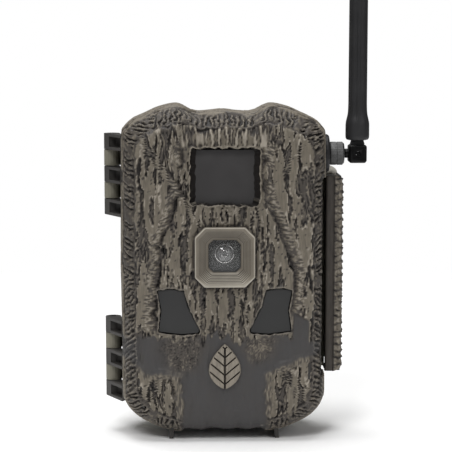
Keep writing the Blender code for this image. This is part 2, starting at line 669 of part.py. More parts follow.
def make_antenna_cable():
    """The coaxial lead from the socket's inner end down to the modem."""
    route = ((43.6, ANTENNA_Y, ANTENNA_Z), (40.0, -49.1, 59.1), (36.4, -49.7, 54.5), (34.8, -50.3, 46.0),
             (34.6, -50.6, 20.0), (35.4, -50.6, -5.0), (36.6, -50.5, -22.0), (33.6, -50.2, -35.0),
             (26.0, -49.4, -42.5), (19.0, -48.2, -45.0), (14.4, -47.9, -45.2))
    curve = bpy.data.curves.new("antenna_cable", "CURVE")
    curve.dimensions = "3D"
    curve.bevel_depth = 0.65
    curve.bevel_resolution = 1
    curve.use_fill_caps = True
    path = curve.splines.new("POLY")
    steps = 3
    points = []
    count = len(route)
    for i in range(count - 1):
        a, b, c, d = (Vector(route[min(max(i + k, 0), count - 1)]) for k in (-1, 0, 1, 2))
        for step in range(steps):
            t = step / steps
            points.append(b + 0.5 * t * ((c - a) + t * ((2 * a - 5 * b + 4 * c - d)
                                                        + t * (3 * b - a - 3 * c + d))))
    points.append(Vector(route[-1]))
    path.points.add(len(points) - 1)
    for slot, point in zip(path.points, points):
        slot.co = (*point, 1.0)
    cable = bpy.data.objects.new("antenna_cable", curve)
    curve.materials.append(material("antenna_cable", *BLACK_PLASTIC))
    bpy.context.scene.collection.objects.link(cable)
    return cable


def make_antenna_nut():
    near, far = NUT
    profile = ((3.5, near), (5.5, near), (5.85, near + 0.4), (5.85, far - 1.2), (4.9, far), (2.7, far),
               (2.7, far - 0.5), (3.5, far - 0.5))
    return turned("antenna_nut", profile, "x", (ANTENNA_Y, ANTENNA_Z), NUT_METAL, segments=24)


def make_antenna_elbow():
    """A stem that turns in the nut, carrying a fork with two cheeks."""
    x, y, z = ELBOW_X, ANTENNA_Y, ANTENNA_Z
    low, high = z - ELBOW_HALF - 0.2, z + ELBOW_HALF
    elbow = box("antenna_elbow", (x - ELBOW_HALF, y - 4.7, low), (x + ELBOW_HALF, y + 4.7, high),
                ELBOW_PLASTIC, bevel=0.9)
    cut(elbow, box("fork", (x - 2.75, y - 2.3, low - 1), (x + 9, y + 2.3, high + 1)))
    fuse(elbow, rod("stem", "x", (y, z), ELBOW_STEM, x - ELBOW_HALF + 0.5, 2.4, segments=16))
    cut(elbow, rod("pin_hole", "y", (x, z), y - 6, y + 6, PIVOT_PIN_RADIUS + GAP, segments=16))
    pin = rod("antenna_pivot_pin", "y", (x, z), y - 4.6, y + 4.6, PIVOT_PIN_RADIUS, STEEL, segments=12)
    return elbow, pin


def whip_ring(z, half_width, half_depth, sides=16):
    """One section of the whip: an oval with slightly flattened faces."""
    ring = []
    for i in range(sides):
        turn = 2 * math.pi * (i + 0.5) / sides
        c, s = math.cos(turn), math.sin(turn)
        ring.append((ELBOW_X + half_width * math.copysign(abs(c) ** 0.8, c),
                     ANTENNA_Y + half_depth * math.copysign(abs(s) ** 0.8, s), z))
    return ring


def make_antenna_whip():
    sections = ((66.4, 3.6, 3.6), (66.8, 5.7, 4.9), (68.2, 6.1, 5.3), (75.8, 6.1, 5.3),
                (79.0, 5.3, 4.7), (82.0, 4.8, 4.3), (WHIP_TOP - 5.0, 4.8, 4.3),
                (WHIP_TOP - 1.6, 4.2, 3.7), (WHIP_TOP, 2.4, 2.2))
    whip = stack("antenna_whip", [whip_ring(*section) for section in sections], WHIP_PLASTIC, 40)
    x, z = ELBOW_X, ANTENNA_Z
    tab = ((x - 2.4, z), (x - 2.4, z + 4.8), (x - 3.6, z + 4.8), (x - 3.6, z + 7.3), (x + 3.6, z + 7.3),
           (x + 3.6, z + 4.8), (x + 2.4, z + 4.8), (x + 2.4, z), (x + 1.7, z - 1.7), (x, z - 2.4),
           (x - 1.7, z - 1.7))
    fuse(whip, prism("tab", tab, "y", ANTENNA_Y - 2.0, ANTENNA_Y + 2.0))
    cut(whip, rod("pin_hole", "y", (x, z), ANTENNA_Y - 6, ANTENNA_Y + 6, PIVOT_PIN_RADIUS + GAP,
                  segments=16))
    return whip


# ---------------------------------------------------------------- latch
def make_latch():
    """A long lever that turns on the rear case and wraps round the cover's edge."""
    left, right = 52.8, 61.3
    front, back, low, high = -50.0, -29.0, LATCH_BOTTOM, LATCH_TOP
    skin, hook = 1.4, 2.4
    section = ((left, front), (right, front), (right, back), (right - skin, back),
               (right - skin, front + hook), (left, front + hook))
    lever = prism("latch_lever", section, "z", low, high, BARK)
    web_top, web_bottom = high - 0.4, LATCH_LOWER_EAR[1] + 0.4
    # Inner pieces stop a hair short of the outer skin, so that no two faces coincide.
    hair = 0.05
    for cap_low, cap_high in ((high - 1.6, high - hair), (low + hair, low + 1.6)):
        fuse(lever, box("cap", (left + hair, front + hair, cap_low), (right - hair, -37.5, cap_high)))
    axis = (LATCH_X, LATCH_Y)
    fuse(lever, box("web", (LATCH_X, LATCH_Y - 2.0, web_bottom + hair),
                    (right - 0.2, LATCH_Y + 2.0, web_top - hair)),
         rod("barrel", "z", axis, web_bottom, web_top, LATCH_BARREL, segments=20))
    cut(lever, rod("pin_hole", "z", axis, low - 1, high + 1, LATCH_PIN_RADIUS + GAP, segments=16))
    rod("latch_pin", "z", axis, LATCH_LOWER_EAR[0] + 0.4, LATCH_TOP + 2.4, LATCH_PIN_RADIUS, STEEL,
        segments=14)
    return lever


# ---------------------------------------------------------------- moving bodies
def carry(body, pivot, *pieces, parent=None):
    """Give moving pieces an empty on their joint's axis, and their origins there too."""
    holder = bpy.data.objects.new(f"{body}_pivot", None)
    bpy.context.scene.collection.objects.link(holder)
    spot = Vector(pivot) * MM
    holder.location = spot - (parent.matrix_world.translation if parent else Vector())
    holder.parent = parent
    bpy.context.view_layer.update()
    for piece in pieces:
        piece.data.transform(Matrix.Translation(-spot))
        piece.parent = holder
    return holder


def scale_to_metres():
    for piece in bpy.data.objects:
        piece.data.transform(Matrix.Scale(MM, 4))


# The pieces that swing with the front cover and have no joint of their own.
COVER_PIECES = {
    "front_cover", "leaf_badge", "ir_window", "ir_led_board", "ir_led_array", "lens_bezel",
    "lens_window", "lens_element", "lens_barrel", "sensor_holder", "image_sensor", "pir_window_left",
    "pir_window_right", "pir_sensor_left", "pir_sensor_right", "main_board", "cell_modem", "sd_socket",
    "control_panel", "panel_screw_1", "panel_screw_2", "panel_screw_3", "panel_screw_4", "lcd_screen",
    "antenna_socket", "antenna_cable", "power_contact_block",
}


def main():
    for old in list(bpy.data.objects):
        bpy.data.objects.remove(old, do_unlink=True)
    make_rear_case()
    make_gasket()
    make_hinge_pins()
    make_tripod_insert()
    make_power_jack()
    flap = make_port_flap()
    make_battery_tray()
    make_cells()
    make_contact_strips()
    make_power_contacts()
    make_front_cover()
    make_badge()
    make_infrared_unit()
    make_lens_unit()
    make_motion_sensors()
    make_main_board()
    make_card_and_socket()
    make_control_panel()
    make_panel_screws()
    make_screen()
    keys = make_keys()
    switch = make_power_switch()
    make_antenna_socket()
    make_antenna_cable()
    nut = make_antenna_nut()
    elbow, pivot_pin = make_antenna_elbow()
    whip = make_antenna_whip()
    lever = make_latch()
    scale_to_metres()

    get = bpy.data.objects.get
    fixed_in_cover = [ob for ob in bpy.data.objects if ob.name in COVER_PIECES]
    cover = carry("cover", (HINGE_X, HINGE_Y, 0.0), *fixed_in_cover)
    carry("latch", (LATCH_X, LATCH_Y, 0.0), lever)
    carry("port_flap", (JACK_X, FLAP_HINGE_Y, -84.0), flap)
    carry("antenna_nut", (59.0, ANTENNA_Y, ANTENNA_Z), nut, parent=cover)
    swivel = carry("antenna_elbow", (ELBOW_X, ANTENNA_Y, ANTENNA_Z), elbow, pivot_pin, parent=cover)
    carry("antenna_whip", (ELBOW_X, ANTENNA_Y, ANTENNA_Z), whip, parent=swivel)
    for name, key in keys.items():
        x, z = KEYS[name]
        carry(f"key_{name}", (x, PANEL[1], z), key, parent=cover)
    carry("power_switch", (SWITCH_X, PANEL[1], SWITCH_Z), switch, parent=cover)
    carry("sd_card", (CARD[0], CARD_Y[0], CARD[2]), get("sd_card"), parent=cover)
    carry("ir_cut_filter", (0.0, -50.0, LENS_Z), get("ir_cut_filter"), parent=cover)


main()
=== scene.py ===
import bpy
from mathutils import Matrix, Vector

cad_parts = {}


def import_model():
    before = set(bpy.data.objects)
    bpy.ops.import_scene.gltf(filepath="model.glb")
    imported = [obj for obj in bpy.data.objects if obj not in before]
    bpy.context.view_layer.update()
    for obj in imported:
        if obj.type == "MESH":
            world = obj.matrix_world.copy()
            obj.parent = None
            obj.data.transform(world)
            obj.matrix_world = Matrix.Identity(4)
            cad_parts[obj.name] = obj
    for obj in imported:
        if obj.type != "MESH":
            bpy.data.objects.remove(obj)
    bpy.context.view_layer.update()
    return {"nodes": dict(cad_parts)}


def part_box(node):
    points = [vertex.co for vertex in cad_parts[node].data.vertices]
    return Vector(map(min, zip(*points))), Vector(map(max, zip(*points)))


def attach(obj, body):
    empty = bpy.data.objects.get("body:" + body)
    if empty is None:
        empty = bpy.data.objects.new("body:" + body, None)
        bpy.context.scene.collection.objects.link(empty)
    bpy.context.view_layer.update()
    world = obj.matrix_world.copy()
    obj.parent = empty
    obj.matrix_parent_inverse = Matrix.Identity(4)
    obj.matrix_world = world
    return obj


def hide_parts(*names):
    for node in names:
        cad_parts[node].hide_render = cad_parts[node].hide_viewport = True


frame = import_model()

import math
from contextlib import contextmanager

import bmesh
import bpy
import numpy as np
from mathutils import Vector

# Looks of the trail camera: bark-relief skin, moulded and metal finishes, floor, lights, camera.
# Lengths in this script are millimetres, turned into metres where a mesh is made.
MM = 0.001
NODES = frame["nodes"]

# ---------------- housing shape
HALF_WIDTH, HALF_HEIGHT = 52.0, 84.0     # what one unit of inset scales the outline by
# Right half of the housing outline (x, z), from the top centre round to the bottom centre.
OUTLINE = (
    (0.0, 81.8), (7.0, 81.1), (13.0, 80.7), (17.0, 81.7), (20.5, 83.6), (25.0, 84.7),
    (33.0, 82.9), (40.0, 79.8), (46.0, 77.1), (50.0, 73.4), (51.8, 68.5), (52.0, 45.0),
    (52.4, 0.0), (51.8, -35.0), (52.0, -62.0), (50.9, -67.5), (47.9, -72.3), (42.6, -76.7),
    (32.7, -81.2), (27.4, -82.6), (21.5, -83.3), (0.0, -83.3),
)
# Section of each half from its rim to its flat face: (inset, y).
COVER_PROFILE = (
    (0.0, -38.4), (0.1, -46.0), (0.4, -54.0), (1.1, -60.0), (2.4, -64.0), (4.0, -66.6),
    (6.0, -68.6), (8.6, -69.9), (11.5, -70.5), (52.0, -70.5),
)
FRONT_FACE = COVER_PROFILE[-1][1]
FEET_TOP = -83.4                         # the foot fins are below this height
UNDER_SKIN = 1.4                         # how far the cover's own walls are drawn in
FACE_BORDER = 2.4                        # inset where the face grid meets the side band
FACE_COLUMNS, FACE_ROWS, SIDE_ROWS = 190, 308, 38

# ---------------- bark layout (x, z)
# Inner edges of the two raised wings of bark, from the top down.
LEFT_WING = (
    (-23.0, 82.0), (-22.6, 72.0), (-23.2, 58.0), (-23.9, 46.0), (-26.8, 36.4), (-30.8, 25.0),
    (-33.8, 19.5), (-35.0, 8.0), (-37.0, -4.0), (-37.3, -14.0), (-37.2, -29.0), (-36.0, -42.0),
)
RIGHT_WING = (
    (20.5, 82.0), (20.6, 70.4), (21.8, 56.4), (22.1, 42.8), (25.0, 34.0), (29.0, 26.0),
    (32.0, 17.0), (36.0, 9.0), (38.0, 0.0), (37.2, -11.8), (35.6, -24.0), (35.4, -36.0),
)
LEFT_WING_END, RIGHT_WING_END = -29.0, -24.0
LEFT_BLOCK_TOP = ((-52.0, -43.0), (-44.0, -46.0), (-40.0, -51.0), (-32.4, -50.2), (-21.0, -52.5))
RIGHT_BLOCK_TOP = ((18.0, -51.5), (25.5, -48.2), (36.2, -44.2), (41.0, -42.0), (52.0, -40.0))
LEFT_BLOCK_EDGE, RIGHT_BLOCK_EDGE = -21.6, 20.6
BARK_END = -33.0                         # the bark between the motion sensors ends here
SENSOR_FOOT = -30.5                      # and at the foot of the motion sensors, beside them
RIM_BAND = 7.3                           # how far in from the outline the rim band reaches
HOLLOW_FLOOR = -0.45                     # height of the smooth hollow and of the flat seats
CLIFF_TOP = (70.0, 64.0)                 # the cliffs fade out upwards between these heights
GRIT = ((-21.5, -38.0, 10.5, 13.5), (17.5, -35.5, 8.5, 10.5))    # centre and half sizes of a patch
BADGE = (0.0, -47.0, 8.0, 12.0, 6.0)     # the emblem's seat: centre, half sizes, chamfer

# ---------------- openings in the skin
WINDOW = (0.0, 49.4, 17.6, 14.4)         # centre x, centre z, half width, half height
BEZEL_HALF, BEZEL_CHAMFER = 15.4, 5.0
BEZEL_BORE, BEZEL_BORE_CHAMFER = 13.0, 4.3
LENS_Z = 9.0
SENSOR_OUTLINE = (
    (34.3, -7.9), (27.6, -6.8), (20.8, -8.0), (18.5, -16.0), (12.6, -28.3),
    (13.0, -30.1), (22.0, -31.0), (33.8, -29.4), (32.6, -18.0),
)
RECESS_X, RECESS_LOW, RECESS_HIGH = 49.2, -54.5, 48.1    # latch recess in the cover's side
FLANGE_Y, FLANGE_Z, FLANGE_SEAT = -49.0, 59.5, 10.6
WINDOW_BACK, SENSOR_BACK, LENS_BACK = -68.0, -68.6, -68.8    # how deep the openings' sides go


# ---------------- noise
def smooth(low, high, value):
    """0 below low, 1 above high, with a soft step between; works with low above high too."""
    t = np.clip((value - low) / (high - low), 0.0, 1.0)
    return t * t * (3.0 - 2.0 * t)


def hashed(ix, iy, seed):
    """A repeatable number from 0 to 1 for each whole-number cell."""
    mask = 0xFFFFFFFF
    n = (ix.astype(np.int64) * 374761393 + iy.astype(np.int64) * 668265263 + seed * 974711) & mask
    n = ((n ^ (n >> 13)) * 1274126177) & mask
    return ((n ^ (n >> 16)) & 0xFFFFFF) / float(0xFFFFFF)


def noise(x, y, seed):
    """Gradient noise from about -1 to 1."""
    x, y = np.broadcast_arrays(np.asarray(x, float), np.asarray(y, float))
    ix, iy = np.floor(x), np.floor(y)
    fx, fy = x - ix, y - iy
    sx, sy = fx ** 3 * (fx * (fx * 6 - 15) + 10), fy ** 3 * (fy * (fy * 6 - 15) + 10)

    def corner(dx, dy):
        angle = hashed(ix + dx, iy + dy, seed) * 2.0 * math.pi
        return np.cos(angle) * (fx - dx) + np.sin(angle) * (fy - dy)
    low = corner(0, 0) * (1 - sx) + corner(1, 0) * sx
    high = corner(0, 1) * (1 - sx) + corner(1, 1) * sx
    return (low * (1 - sy) + high * sy) * 1.5


def layered(x, y, seed, octaves=3):
    """Several octaves of noise, each half as strong and twice as fine."""
    return sum(noise(x * 2 ** k, y * 2 ** k, seed + k) / 2 ** k for k in range(octaves))


# ---------------- housing surface
def round_outline():
    """The whole outline as a dense smooth closed curve, counter-clockwise from the bottom."""
    right = [Vector(point) for point in OUTLINE]
    left = [Vector((-p.x, p.y)) for p in right[1:-1]]
    points = list(reversed(right)) + left
    count, dense = len(points), []
    for i in range(count):
        a, b, c, d = (points[(i + k) % count] for k in (-1, 0, 1, 2))
        for step in range(12):
            t = step / 12
            if (c - b).length > 15.0:
                dense.append(b.lerp(c, t))
                continue
            dense.append(0.5 * (2 * b + (c - a) * t + (2 * a - 5 * b + 4 * c - d) * t ** 2
                                + (3 * b - a - 3 * c + d) * t ** 3))
    return np.array([(p.x, p.y) for p in dense])


CURVE = round_outline()
STEP_LENGTHS = np.hypot(*(np.roll(CURVE, -1, 0) - CURVE).T)
PERIMETER = STEP_LENGTHS.sum()
TANGENT = np.roll(CURVE, -2, 0) - np.roll(CURVE, 2, 0)
TANGENT /= np.hypot(*TANGENT.T)[:, None]
ANGLES = np.unwrap(np.arctan2(CURVE[:, 1], CURVE[:, 0]))
ALONG = np.concatenate(([0.0], np.cumsum(STEP_LENGTHS)[:-1]))


def at_angle(angle, values, turn=0.0):
    """Reads values of the outline at polar angles; turn is what a full round adds."""
    order = np.argsort(ANGLES)
    xs = ANGLES[order]
    ys = values[order]
    xs = np.concatenate((xs - 2 * math.pi, xs, xs + 2 * math.pi))
    ys = np.concatenate((ys - turn, ys, ys + turn))
    return np.interp(angle, xs, ys)


def profile_tables(profile):
    """Dense (inset, y, distance run from the rim) along a section of the housing."""
    inset, y = np.array(profile, float).T
    fine = np.concatenate([np.linspace(a, b, 24, endpoint=False) for a, b in zip(inset, inset[1:])]
                          + [inset[-1:]])
    depth = np.interp(fine, inset, y)
    kernel = np.ones(15) / 15
    padded = np.concatenate((np.full(7, depth[0]), depth, np.full(7, depth[-1])))
    eased = np.convolve(padded, kernel, "valid")
    run = np.concatenate(([0.0], np.cumsum(np.hypot(np.diff(fine), np.diff(eased)))))
    return fine, eased, run


def surface(direction_x, direction_z, inset, depth):
    """Point on the housing in a direction from the centre, at an inset from the outline."""
    angle = np.arctan2(direction_z, direction_x)
    radius = at_angle(angle, np.hypot(*CURVE.T))
    scale = 1.0 - inset / HALF_WIDTH
    tall = scale + (1.0 - HALF_WIDTH / HALF_HEIGHT) * scale * (1.0 - scale)
    points = np.stack((radius * np.cos(angle) * scale, depth, radius * np.sin(angle) * tall), -1)
    normal = np.stack((at_angle(angle, TANGENT[:, 1]), -at_angle(angle, TANGENT[:, 0])), -1)
    return points, normal, at_angle(angle, ALONG, PERIMETER)


def housing_grid(profile, border, columns, rows, side_rows):
    """A face grid and the side band that continues it to the rim, as vertices and quads.

    Also gives, for each vertex, its place on the flattened-out surface, its inset, its
    distance from the rim, and its distance along the outline."""
    fine, eased, run = profile_tables(profile)
    border_run = np.interp(border, fine, run)
    a, b = np.meshgrid(np.linspace(-1, 1, columns + 1), np.linspace(-1, 1, rows + 1))
    a, b = a.ravel(), b.ravel()
    ring = np.maximum(np.abs(a), np.abs(b))
    ring_run = border_run + (run[-1] - border_run) * (1.0 - ring)
    edge = {}
    for index in np.flatnonzero(ring > 1.0 - 1e-9):
        edge[(round(a[index] * columns), round(b[index] * rows))] = index
    order = sorted(edge.values(), key=lambda i: math.atan2(b[i] * rows, a[i] * columns))
    side_a = np.tile(a[order], side_rows)
    side_b = np.tile(b[order], side_rows)
    side_run = np.repeat(border_run * (1.0 - np.arange(1, side_rows + 1) / side_rows), len(order))
    a, b = np.concatenate((a, side_a)), np.concatenate((b, side_b))
    travelled = np.concatenate((ring_run, side_run))
    inset = np.interp(travelled, run, fine)
    depth = np.interp(travelled, run, eased)
    points, normal, along = surface(a * HALF_WIDTH, b * HALF_HEIGHT, inset, depth)
    flat_run = np.interp(12.0, fine, run)
    extra = np.maximum(flat_run - travelled, 0.0) - np.maximum(12.0 - inset, 0.0)
    unrolled = points[:, (0, 2)] + normal * extra[:, None]
    quads = []
    for j in range(rows):
        for i in range(columns):
            low = j * (columns + 1) + i
            quads.append((low, low + 1, low + columns + 2, low + columns + 1))
    previous, start, count = list(order), (columns + 1) * (rows + 1), len(order)
    for k in range(side_rows):
        current = [start + k * count + i for i in range(count)]
        for i in range(count):
            n = (i + 1) % count
            quads.append((previous[n], previous[i], current[i], current[n]))
        previous = current
    return points, np.array(quads), unrolled, inset, travelled, along


# ---------------- distances in the face plane
def box_distance(x, z, centre_x, centre_z, half_x, half_z, chamfer=0.0):
    """Signed distance to a rectangle, negative inside, with its corners cut at 45 degrees."""
    dx, dz = np.abs(x - centre_x) - half_x, np.abs(z - centre_z) - half_z
    outside = np.hypot(np.maximum(dx, 0), np.maximum(dz, 0)) + np.minimum(np.maximum(dx, dz), 0)
    return np.maximum(outside, (dx + dz + chamfer) / math.sqrt(2.0))


def outline_distance(x, z, points):
    """Signed distance to a closed polygon, negative inside."""
    best, inside = np.full(x.shape, 1e9), np.zeros(x.shape, bool)
    for (ax, az), (bx, bz) in zip(points, points[1:] + points[:1]):
        ex, ez = bx - ax, bz - az
        t = np.clip(((x - ax) * ex + (z - az) * ez) / (ex * ex + ez * ez), 0, 1)
        best = np.minimum(best, np.hypot(x - ax - t * ex, z - az - t * ez))
        crosses = (az > z) != (bz > z)
        reach = ax + (z - az) / np.where(ez == 0, 1e-9, ez) * ex
        inside ^= crosses & (x < reach)
    return np.where(inside, -best, best)


def window_distance(x, z):
    ragged = 0.75 * noise(x / 3.3 + 5.0, z / 3.3, 61) + 0.35 * noise(x / 1.4, z / 1.4, 62)
    return box_distance(x, z, *WINDOW, 1.6) + ragged


def sensor_distance(x, z, side):
    points = [(side * px, pz) for px, pz in SENSOR_OUTLINE]
    return outline_distance(x, z, points) + 0.35 * noise(x / 2.2, z / 2.2, 63)


def bezel_distance(x, z):
    return box_distance(x, z, 0.0, LENS_Z, BEZEL_HALF, BEZEL_HALF, BEZEL_CHAMFER)


# ---------------- bark relief
def bark_plates(u, v, width, tall, seed):
    """Raised plates with wavy outlines: how raised each point is, its outline and its edge."""
    wu = u + 1.1 * layered(u / 8.0, v / 19.0, seed) + 0.60 * noise(u / 2.8, v / 3.8, seed + 5)
    wu = wu + 0.20 * noise(u / 1.1, v / 1.6, seed + 4)
    wv = v + 4.5 * noise(u / 3.6, v / 16.0, seed + 6)
    field = noise(wu / width, wv / tall, seed + 7)
    field = field + 0.50 * noise(wu * 1.9 / width, wv * 2.1 / tall, seed + 8)
    field = field + 0.09 * noise(u / 0.9, v / 2.4, seed + 9) + 0.10
    inner = field + 0.44
    raised = smooth(-0.05, 0.05, field)
    outline = np.maximum(np.exp(-((field + 0.09) / 0.07) ** 2), 0.7 * np.exp(-(inner / 0.07) ** 2))
    edge = np.maximum(np.exp(-((field - 0.07) / 0.06) ** 2),
                      0.7 * np.exp(-((inner - 0.13) / 0.06) ** 2))
    return raised, outline, edge


def torn_fibres(across, along, seed):
    """Short broken strokes that run across a torn edge, from -1 to 1."""
    bent = along + 0.25 * across + 0.8 * noise(across / 5.0, along / 4.0, seed + 2)
    return noise(across / 3.6, bent / 0.85, seed) + 0.4 * noise(across / 2.0, bent / 0.5, seed + 1)


class Layers:
    """The relief's height in mm and how light the print is, laid down zone by zone."""

    def __init__(self, height, tan):
        self.height, self.tan = height, tan

    def lay(self, where, height=None, tan=None):
        """Moves height and tan towards new values where the mask is 1."""
        if height is not None:
            self.height = self.height + where * (height - self.height)
        if tan is not None:
            self.tan = self.tan + where * (tan - self.tan)

    def press(self, where, height, tan):
        """Lowers and darkens along a mask."""
        self.height = self.height - height * where
        self.tan = self.tan - tan * where


def wings(u, v, wave):
    """How far each point is inside its wing of bark, and how much of a wing there is at all."""
    left = np.interp(v, *np.array(LEFT_WING)[::-1].T[::-1])
    right = np.interp(v, *np.array(RIGHT_WING)[::-1].T[::-1])
    into_wing = np.where(u < 0, left - u + wave, u - right + wave)
    left_on = smooth(LEFT_WING_END - 2.5, LEFT_WING_END + 2.5, v + 2 * wave)
    right_on = smooth(RIGHT_WING_END - 2.5, RIGHT_WING_END + 2.5, v + 2 * wave)
    return into_wing, np.where(u < 0, left_on, right_on)


def bark_fields(u, v, into_wing, grain):
    """Broad plates on the wings and narrow ones between them."""
    on_wing = smooth(-1.0, 1.0, into_wing)
    broad = bark_plates(u, v, 3.3, 27.0, 100)
    slim = bark_plates(u, v, 2.5, 24.0, 140)
    raised, line, edge = (one + (other - one) * on_wing for one, other in zip(slim, broad))
    pits = smooth(0.56, 0.70, noise(u / 1.25, v / 1.6, 41)) * raised
    drift = noise(u / 4.0, v / 9.0, 43)
    # The band just inside each plate's outline is raised a little in height, and lightened in tan as a
    # painted highlight along the plate edges.
    height = 0.8 * raised - 0.55 * line + 0.22 * edge - 0.55 * pits + 0.10 * grain
    tan = 0.41 + 0.27 * raised - 0.52 * line + 0.42 * edge - 0.45 * pits
    tan += 0.07 * grain + 0.12 * drift
    return Layers(height, tan)


def torn_cliffs(skin, u, v, into_wing, wing_on):
    """The wings stand higher than the middle, with a torn cliff between them."""
    torn = torn_fibres(u, v, 51)
    blocky = into_wing + 1.5 * np.round(1.3 * noise(u / 30.0, v / 5.5, 54))
    cliff = smooth(-2.6, 0.6, blocky) * wing_on
    band = smooth(-3.2, -2.4, blocky) * smooth(3.4, 2.2, blocky) * wing_on
    band *= smooth(*CLIFF_TOP, v) * (1.0 - smooth(56.0, 53.0, v) * smooth(46.0, 49.0, v))
    skin.height = skin.height + 1.9 * cliff - 0.8
    strands = smooth(-0.25, 0.30, torn)
    # The band's strokes get lighter towards the cliff's top: a painted highlight.
    lit = smooth(-2.8, 0.4, blocky)
    skin.lay(band, 2.1 * cliff - 0.8 + 0.45 * strands, 0.18 + 0.22 * lit + (0.20 + 0.34 * lit) * strands)
    # Along the cliff's foot the skin is lowered into a groove and darkened: the darkening is a painted
    # shadow.
    cliff_foot_shadow = np.exp(-((blocky + 3.0) / 0.5) ** 2) * wing_on * smooth(*CLIFF_TOP, v)
    skin.press(cliff_foot_shadow, 0.4, 0.42)


def inside_blocks(u, v, wave):
    """How far each point is inside the two blocks of bark in the hollow, and past their sides."""
    left_block = np.interp(u, *np.array(LEFT_BLOCK_TOP).T) - v + wave
    right_block = np.interp(u, *np.array(RIGHT_BLOCK_TOP).T) - v + wave
    block_top = np.where(u < 0, left_block, right_block)
    block_side = np.where(u < 0, LEFT_BLOCK_EDGE - u, u - RIGHT_BLOCK_EDGE) + 1.4 * wave
    return np.minimum(block_top, block_side), block_side


def hollow_reach(u, v, wave, into_wing, wing_on, in_block):
    """Where the smooth hollow below the motion sensors is."""
    # a strip of it climbs beside the right sensor
    beside = smooth(34.4, 35.2, u) * smooth(43.5, 42.0, u)
    beside *= smooth(-18.5, -20.5, v + 0.5 * wave + 0.6 * (u - 35.0))
    # its upper edge hangs in drips between the sensors and runs level along their feet
    drip = 5.0 * noise(u / 2.2, 0.5, 71) + 1.5 * noise(u / 0.9, 0.5, 72)
    outer = smooth(-0.8, 0.8, into_wing) * wing_on * (1 - beside)
    middle = smooth(18.0, 14.0, np.abs(u + 0.6 * wave))
    taper = 0.9 * np.maximum(41.0 - np.abs(u), 0.0) * smooth(34.0, 38.0, np.abs(u))
    foot = SENSOR_FOOT - 2.5 + 1.4 * wave + 2.2 * noise(u / 3.4, 0.5, 78) + np.minimum(taper, 2.5)
    floor_line = foot + middle * (BARK_END + drip - foot)
    above = np.maximum(smooth(-0.6, 0.9, v - floor_line) * (1 - beside), outer)
    return (1 - smooth(-0.6, 1.2, in_block)) * (1 - above)


def smooth_hollow(skin, u, v, wave, hollow, wood):
    """Smooth wood with a patch of grit under each motion sensor; gives where it is slate."""
    patches = [np.hypot((u - x) / half_x, (v - z) / half_z) for x, z, half_x, half_z in GRIT]
    grit = smooth(1.35, 0.55, np.minimum(*patches) + 0.12 * wave) * hollow
    grains = noise(u / 0.8, v / 0.9, 74) + 0.5 * noise(u / 2.2, v / 2.6, 77)
    skin.lay(hollow, HOLLOW_FLOOR + wood, 0.30 + 0.40 * wood)
    skin.height = skin.height + grit * (0.2 + 0.28 * grains)
    skin.tan = skin.tan + grit * (0.10 + 0.40 * grains)
    return hollow * (1 - grit)


def torn_block_tops(skin, u, v, in_block, block_side):
    """The frayed upper edges of the two blocks."""
    torn_top = noise(u / 0.8, v / 4.0, 75) + 0.4 * noise(u / 0.4, v / 2.4, 76)
    fringe = smooth(-2.6, -1.2, in_block) * smooth(4.2, 2.4, in_block) * smooth(-36.0, -40.0, v)
    fringe *= smooth(-1.5, 0.5, block_side)
    height = smooth(-2.4, 2.6, in_block) + 0.28 * torn_top + 0.2 * skin.height - 0.2
    skin.lay(fringe, height, 0.55 + 0.40 * torn_top)


def window_brow(skin, u, v, wave):
    """Above the window the plates are short and bright, and the top edge is mottled."""
    fingers = smooth(62.5, 65.0, v) * smooth(76.0, 74.0, v + wave) * smooth(22.5, 21.0, np.abs(u))
    finger = noise((u + 0.5 * noise(u / 3, v / 3, 82)) / 1.9, v / 16.0 + 0.5, 83)
    groove = np.exp(-((finger + 0.05) / 0.16) ** 2)
    skin.lay(fingers, 0.9 * smooth(-0.1, 0.2, finger) - 0.6 * groove,
             0.72 + 0.34 * smooth(-0.1, 0.3, finger) - 0.60 * groove)
    crown = smooth(75.0, 76.5, v + wave) * smooth(24.0, 22.0, np.abs(u))
    mottle = noise(u / 1.7, v / 1.3, 81)
    skin.lay(crown, 0.5 * smooth(-0.1, 0.1, mottle), 0.22 + 0.45 * smooth(0.0, 0.25, mottle))


def rim_band(skin, u, v, inset, rim_run, along, wave):
    """Flat patches between short slanting strokes, round the outline."""
    edge = inset + 0.6 * wave
    rim = smooth(RIM_BAND + 0.3, RIM_BAND - 0.3, edge)
    lean = np.where(np.abs(u) > 36.0, v + np.where(v > 0, -0.25, 0.5) * np.abs(u), u)
    bend = lean + 1.3 * noise(along / 3.0, inset / 2.6, 93) + 0.4 * noise(along / 1.2, inset / 1.2, 96)
    clusters = smooth(-0.45, -0.20, noise(along / 6.0, 0.5, 91))
    ripple = np.cos(bend * 2 * math.pi / 2.7)
    strokes = smooth(0.10, 0.55, ripple)
    reach = smooth(0.6, 1.6, inset) * smooth(RIM_BAND - 0.4, RIM_BAND - 1.4, edge)
    cut = strokes * clusters * reach
    # The print is lightened beside each stroke: a painted highlight.
    stroke_highlight = np.exp(-((ripple + 0.05) / 0.18) ** 2) * clusters * reach
    blotch = noise(along / 1.5, inset / 1.4, 95)
    skin.lay(rim, 0.4 - 1.1 * cut + 0.2 * noise(along / 2.0, rim_run / 2.0, 94),
             0.46 - 0.44 * cut + 0.34 * stroke_highlight + 0.26 * blotch)
    border = np.exp(-((edge - RIM_BAND - 0.2) / 0.42) ** 2)
    border *= smooth(-0.5, 0.1, noise(along / 3.5, inset / 3.0, 97))
    skin.press(border, 0.5, 0.40)


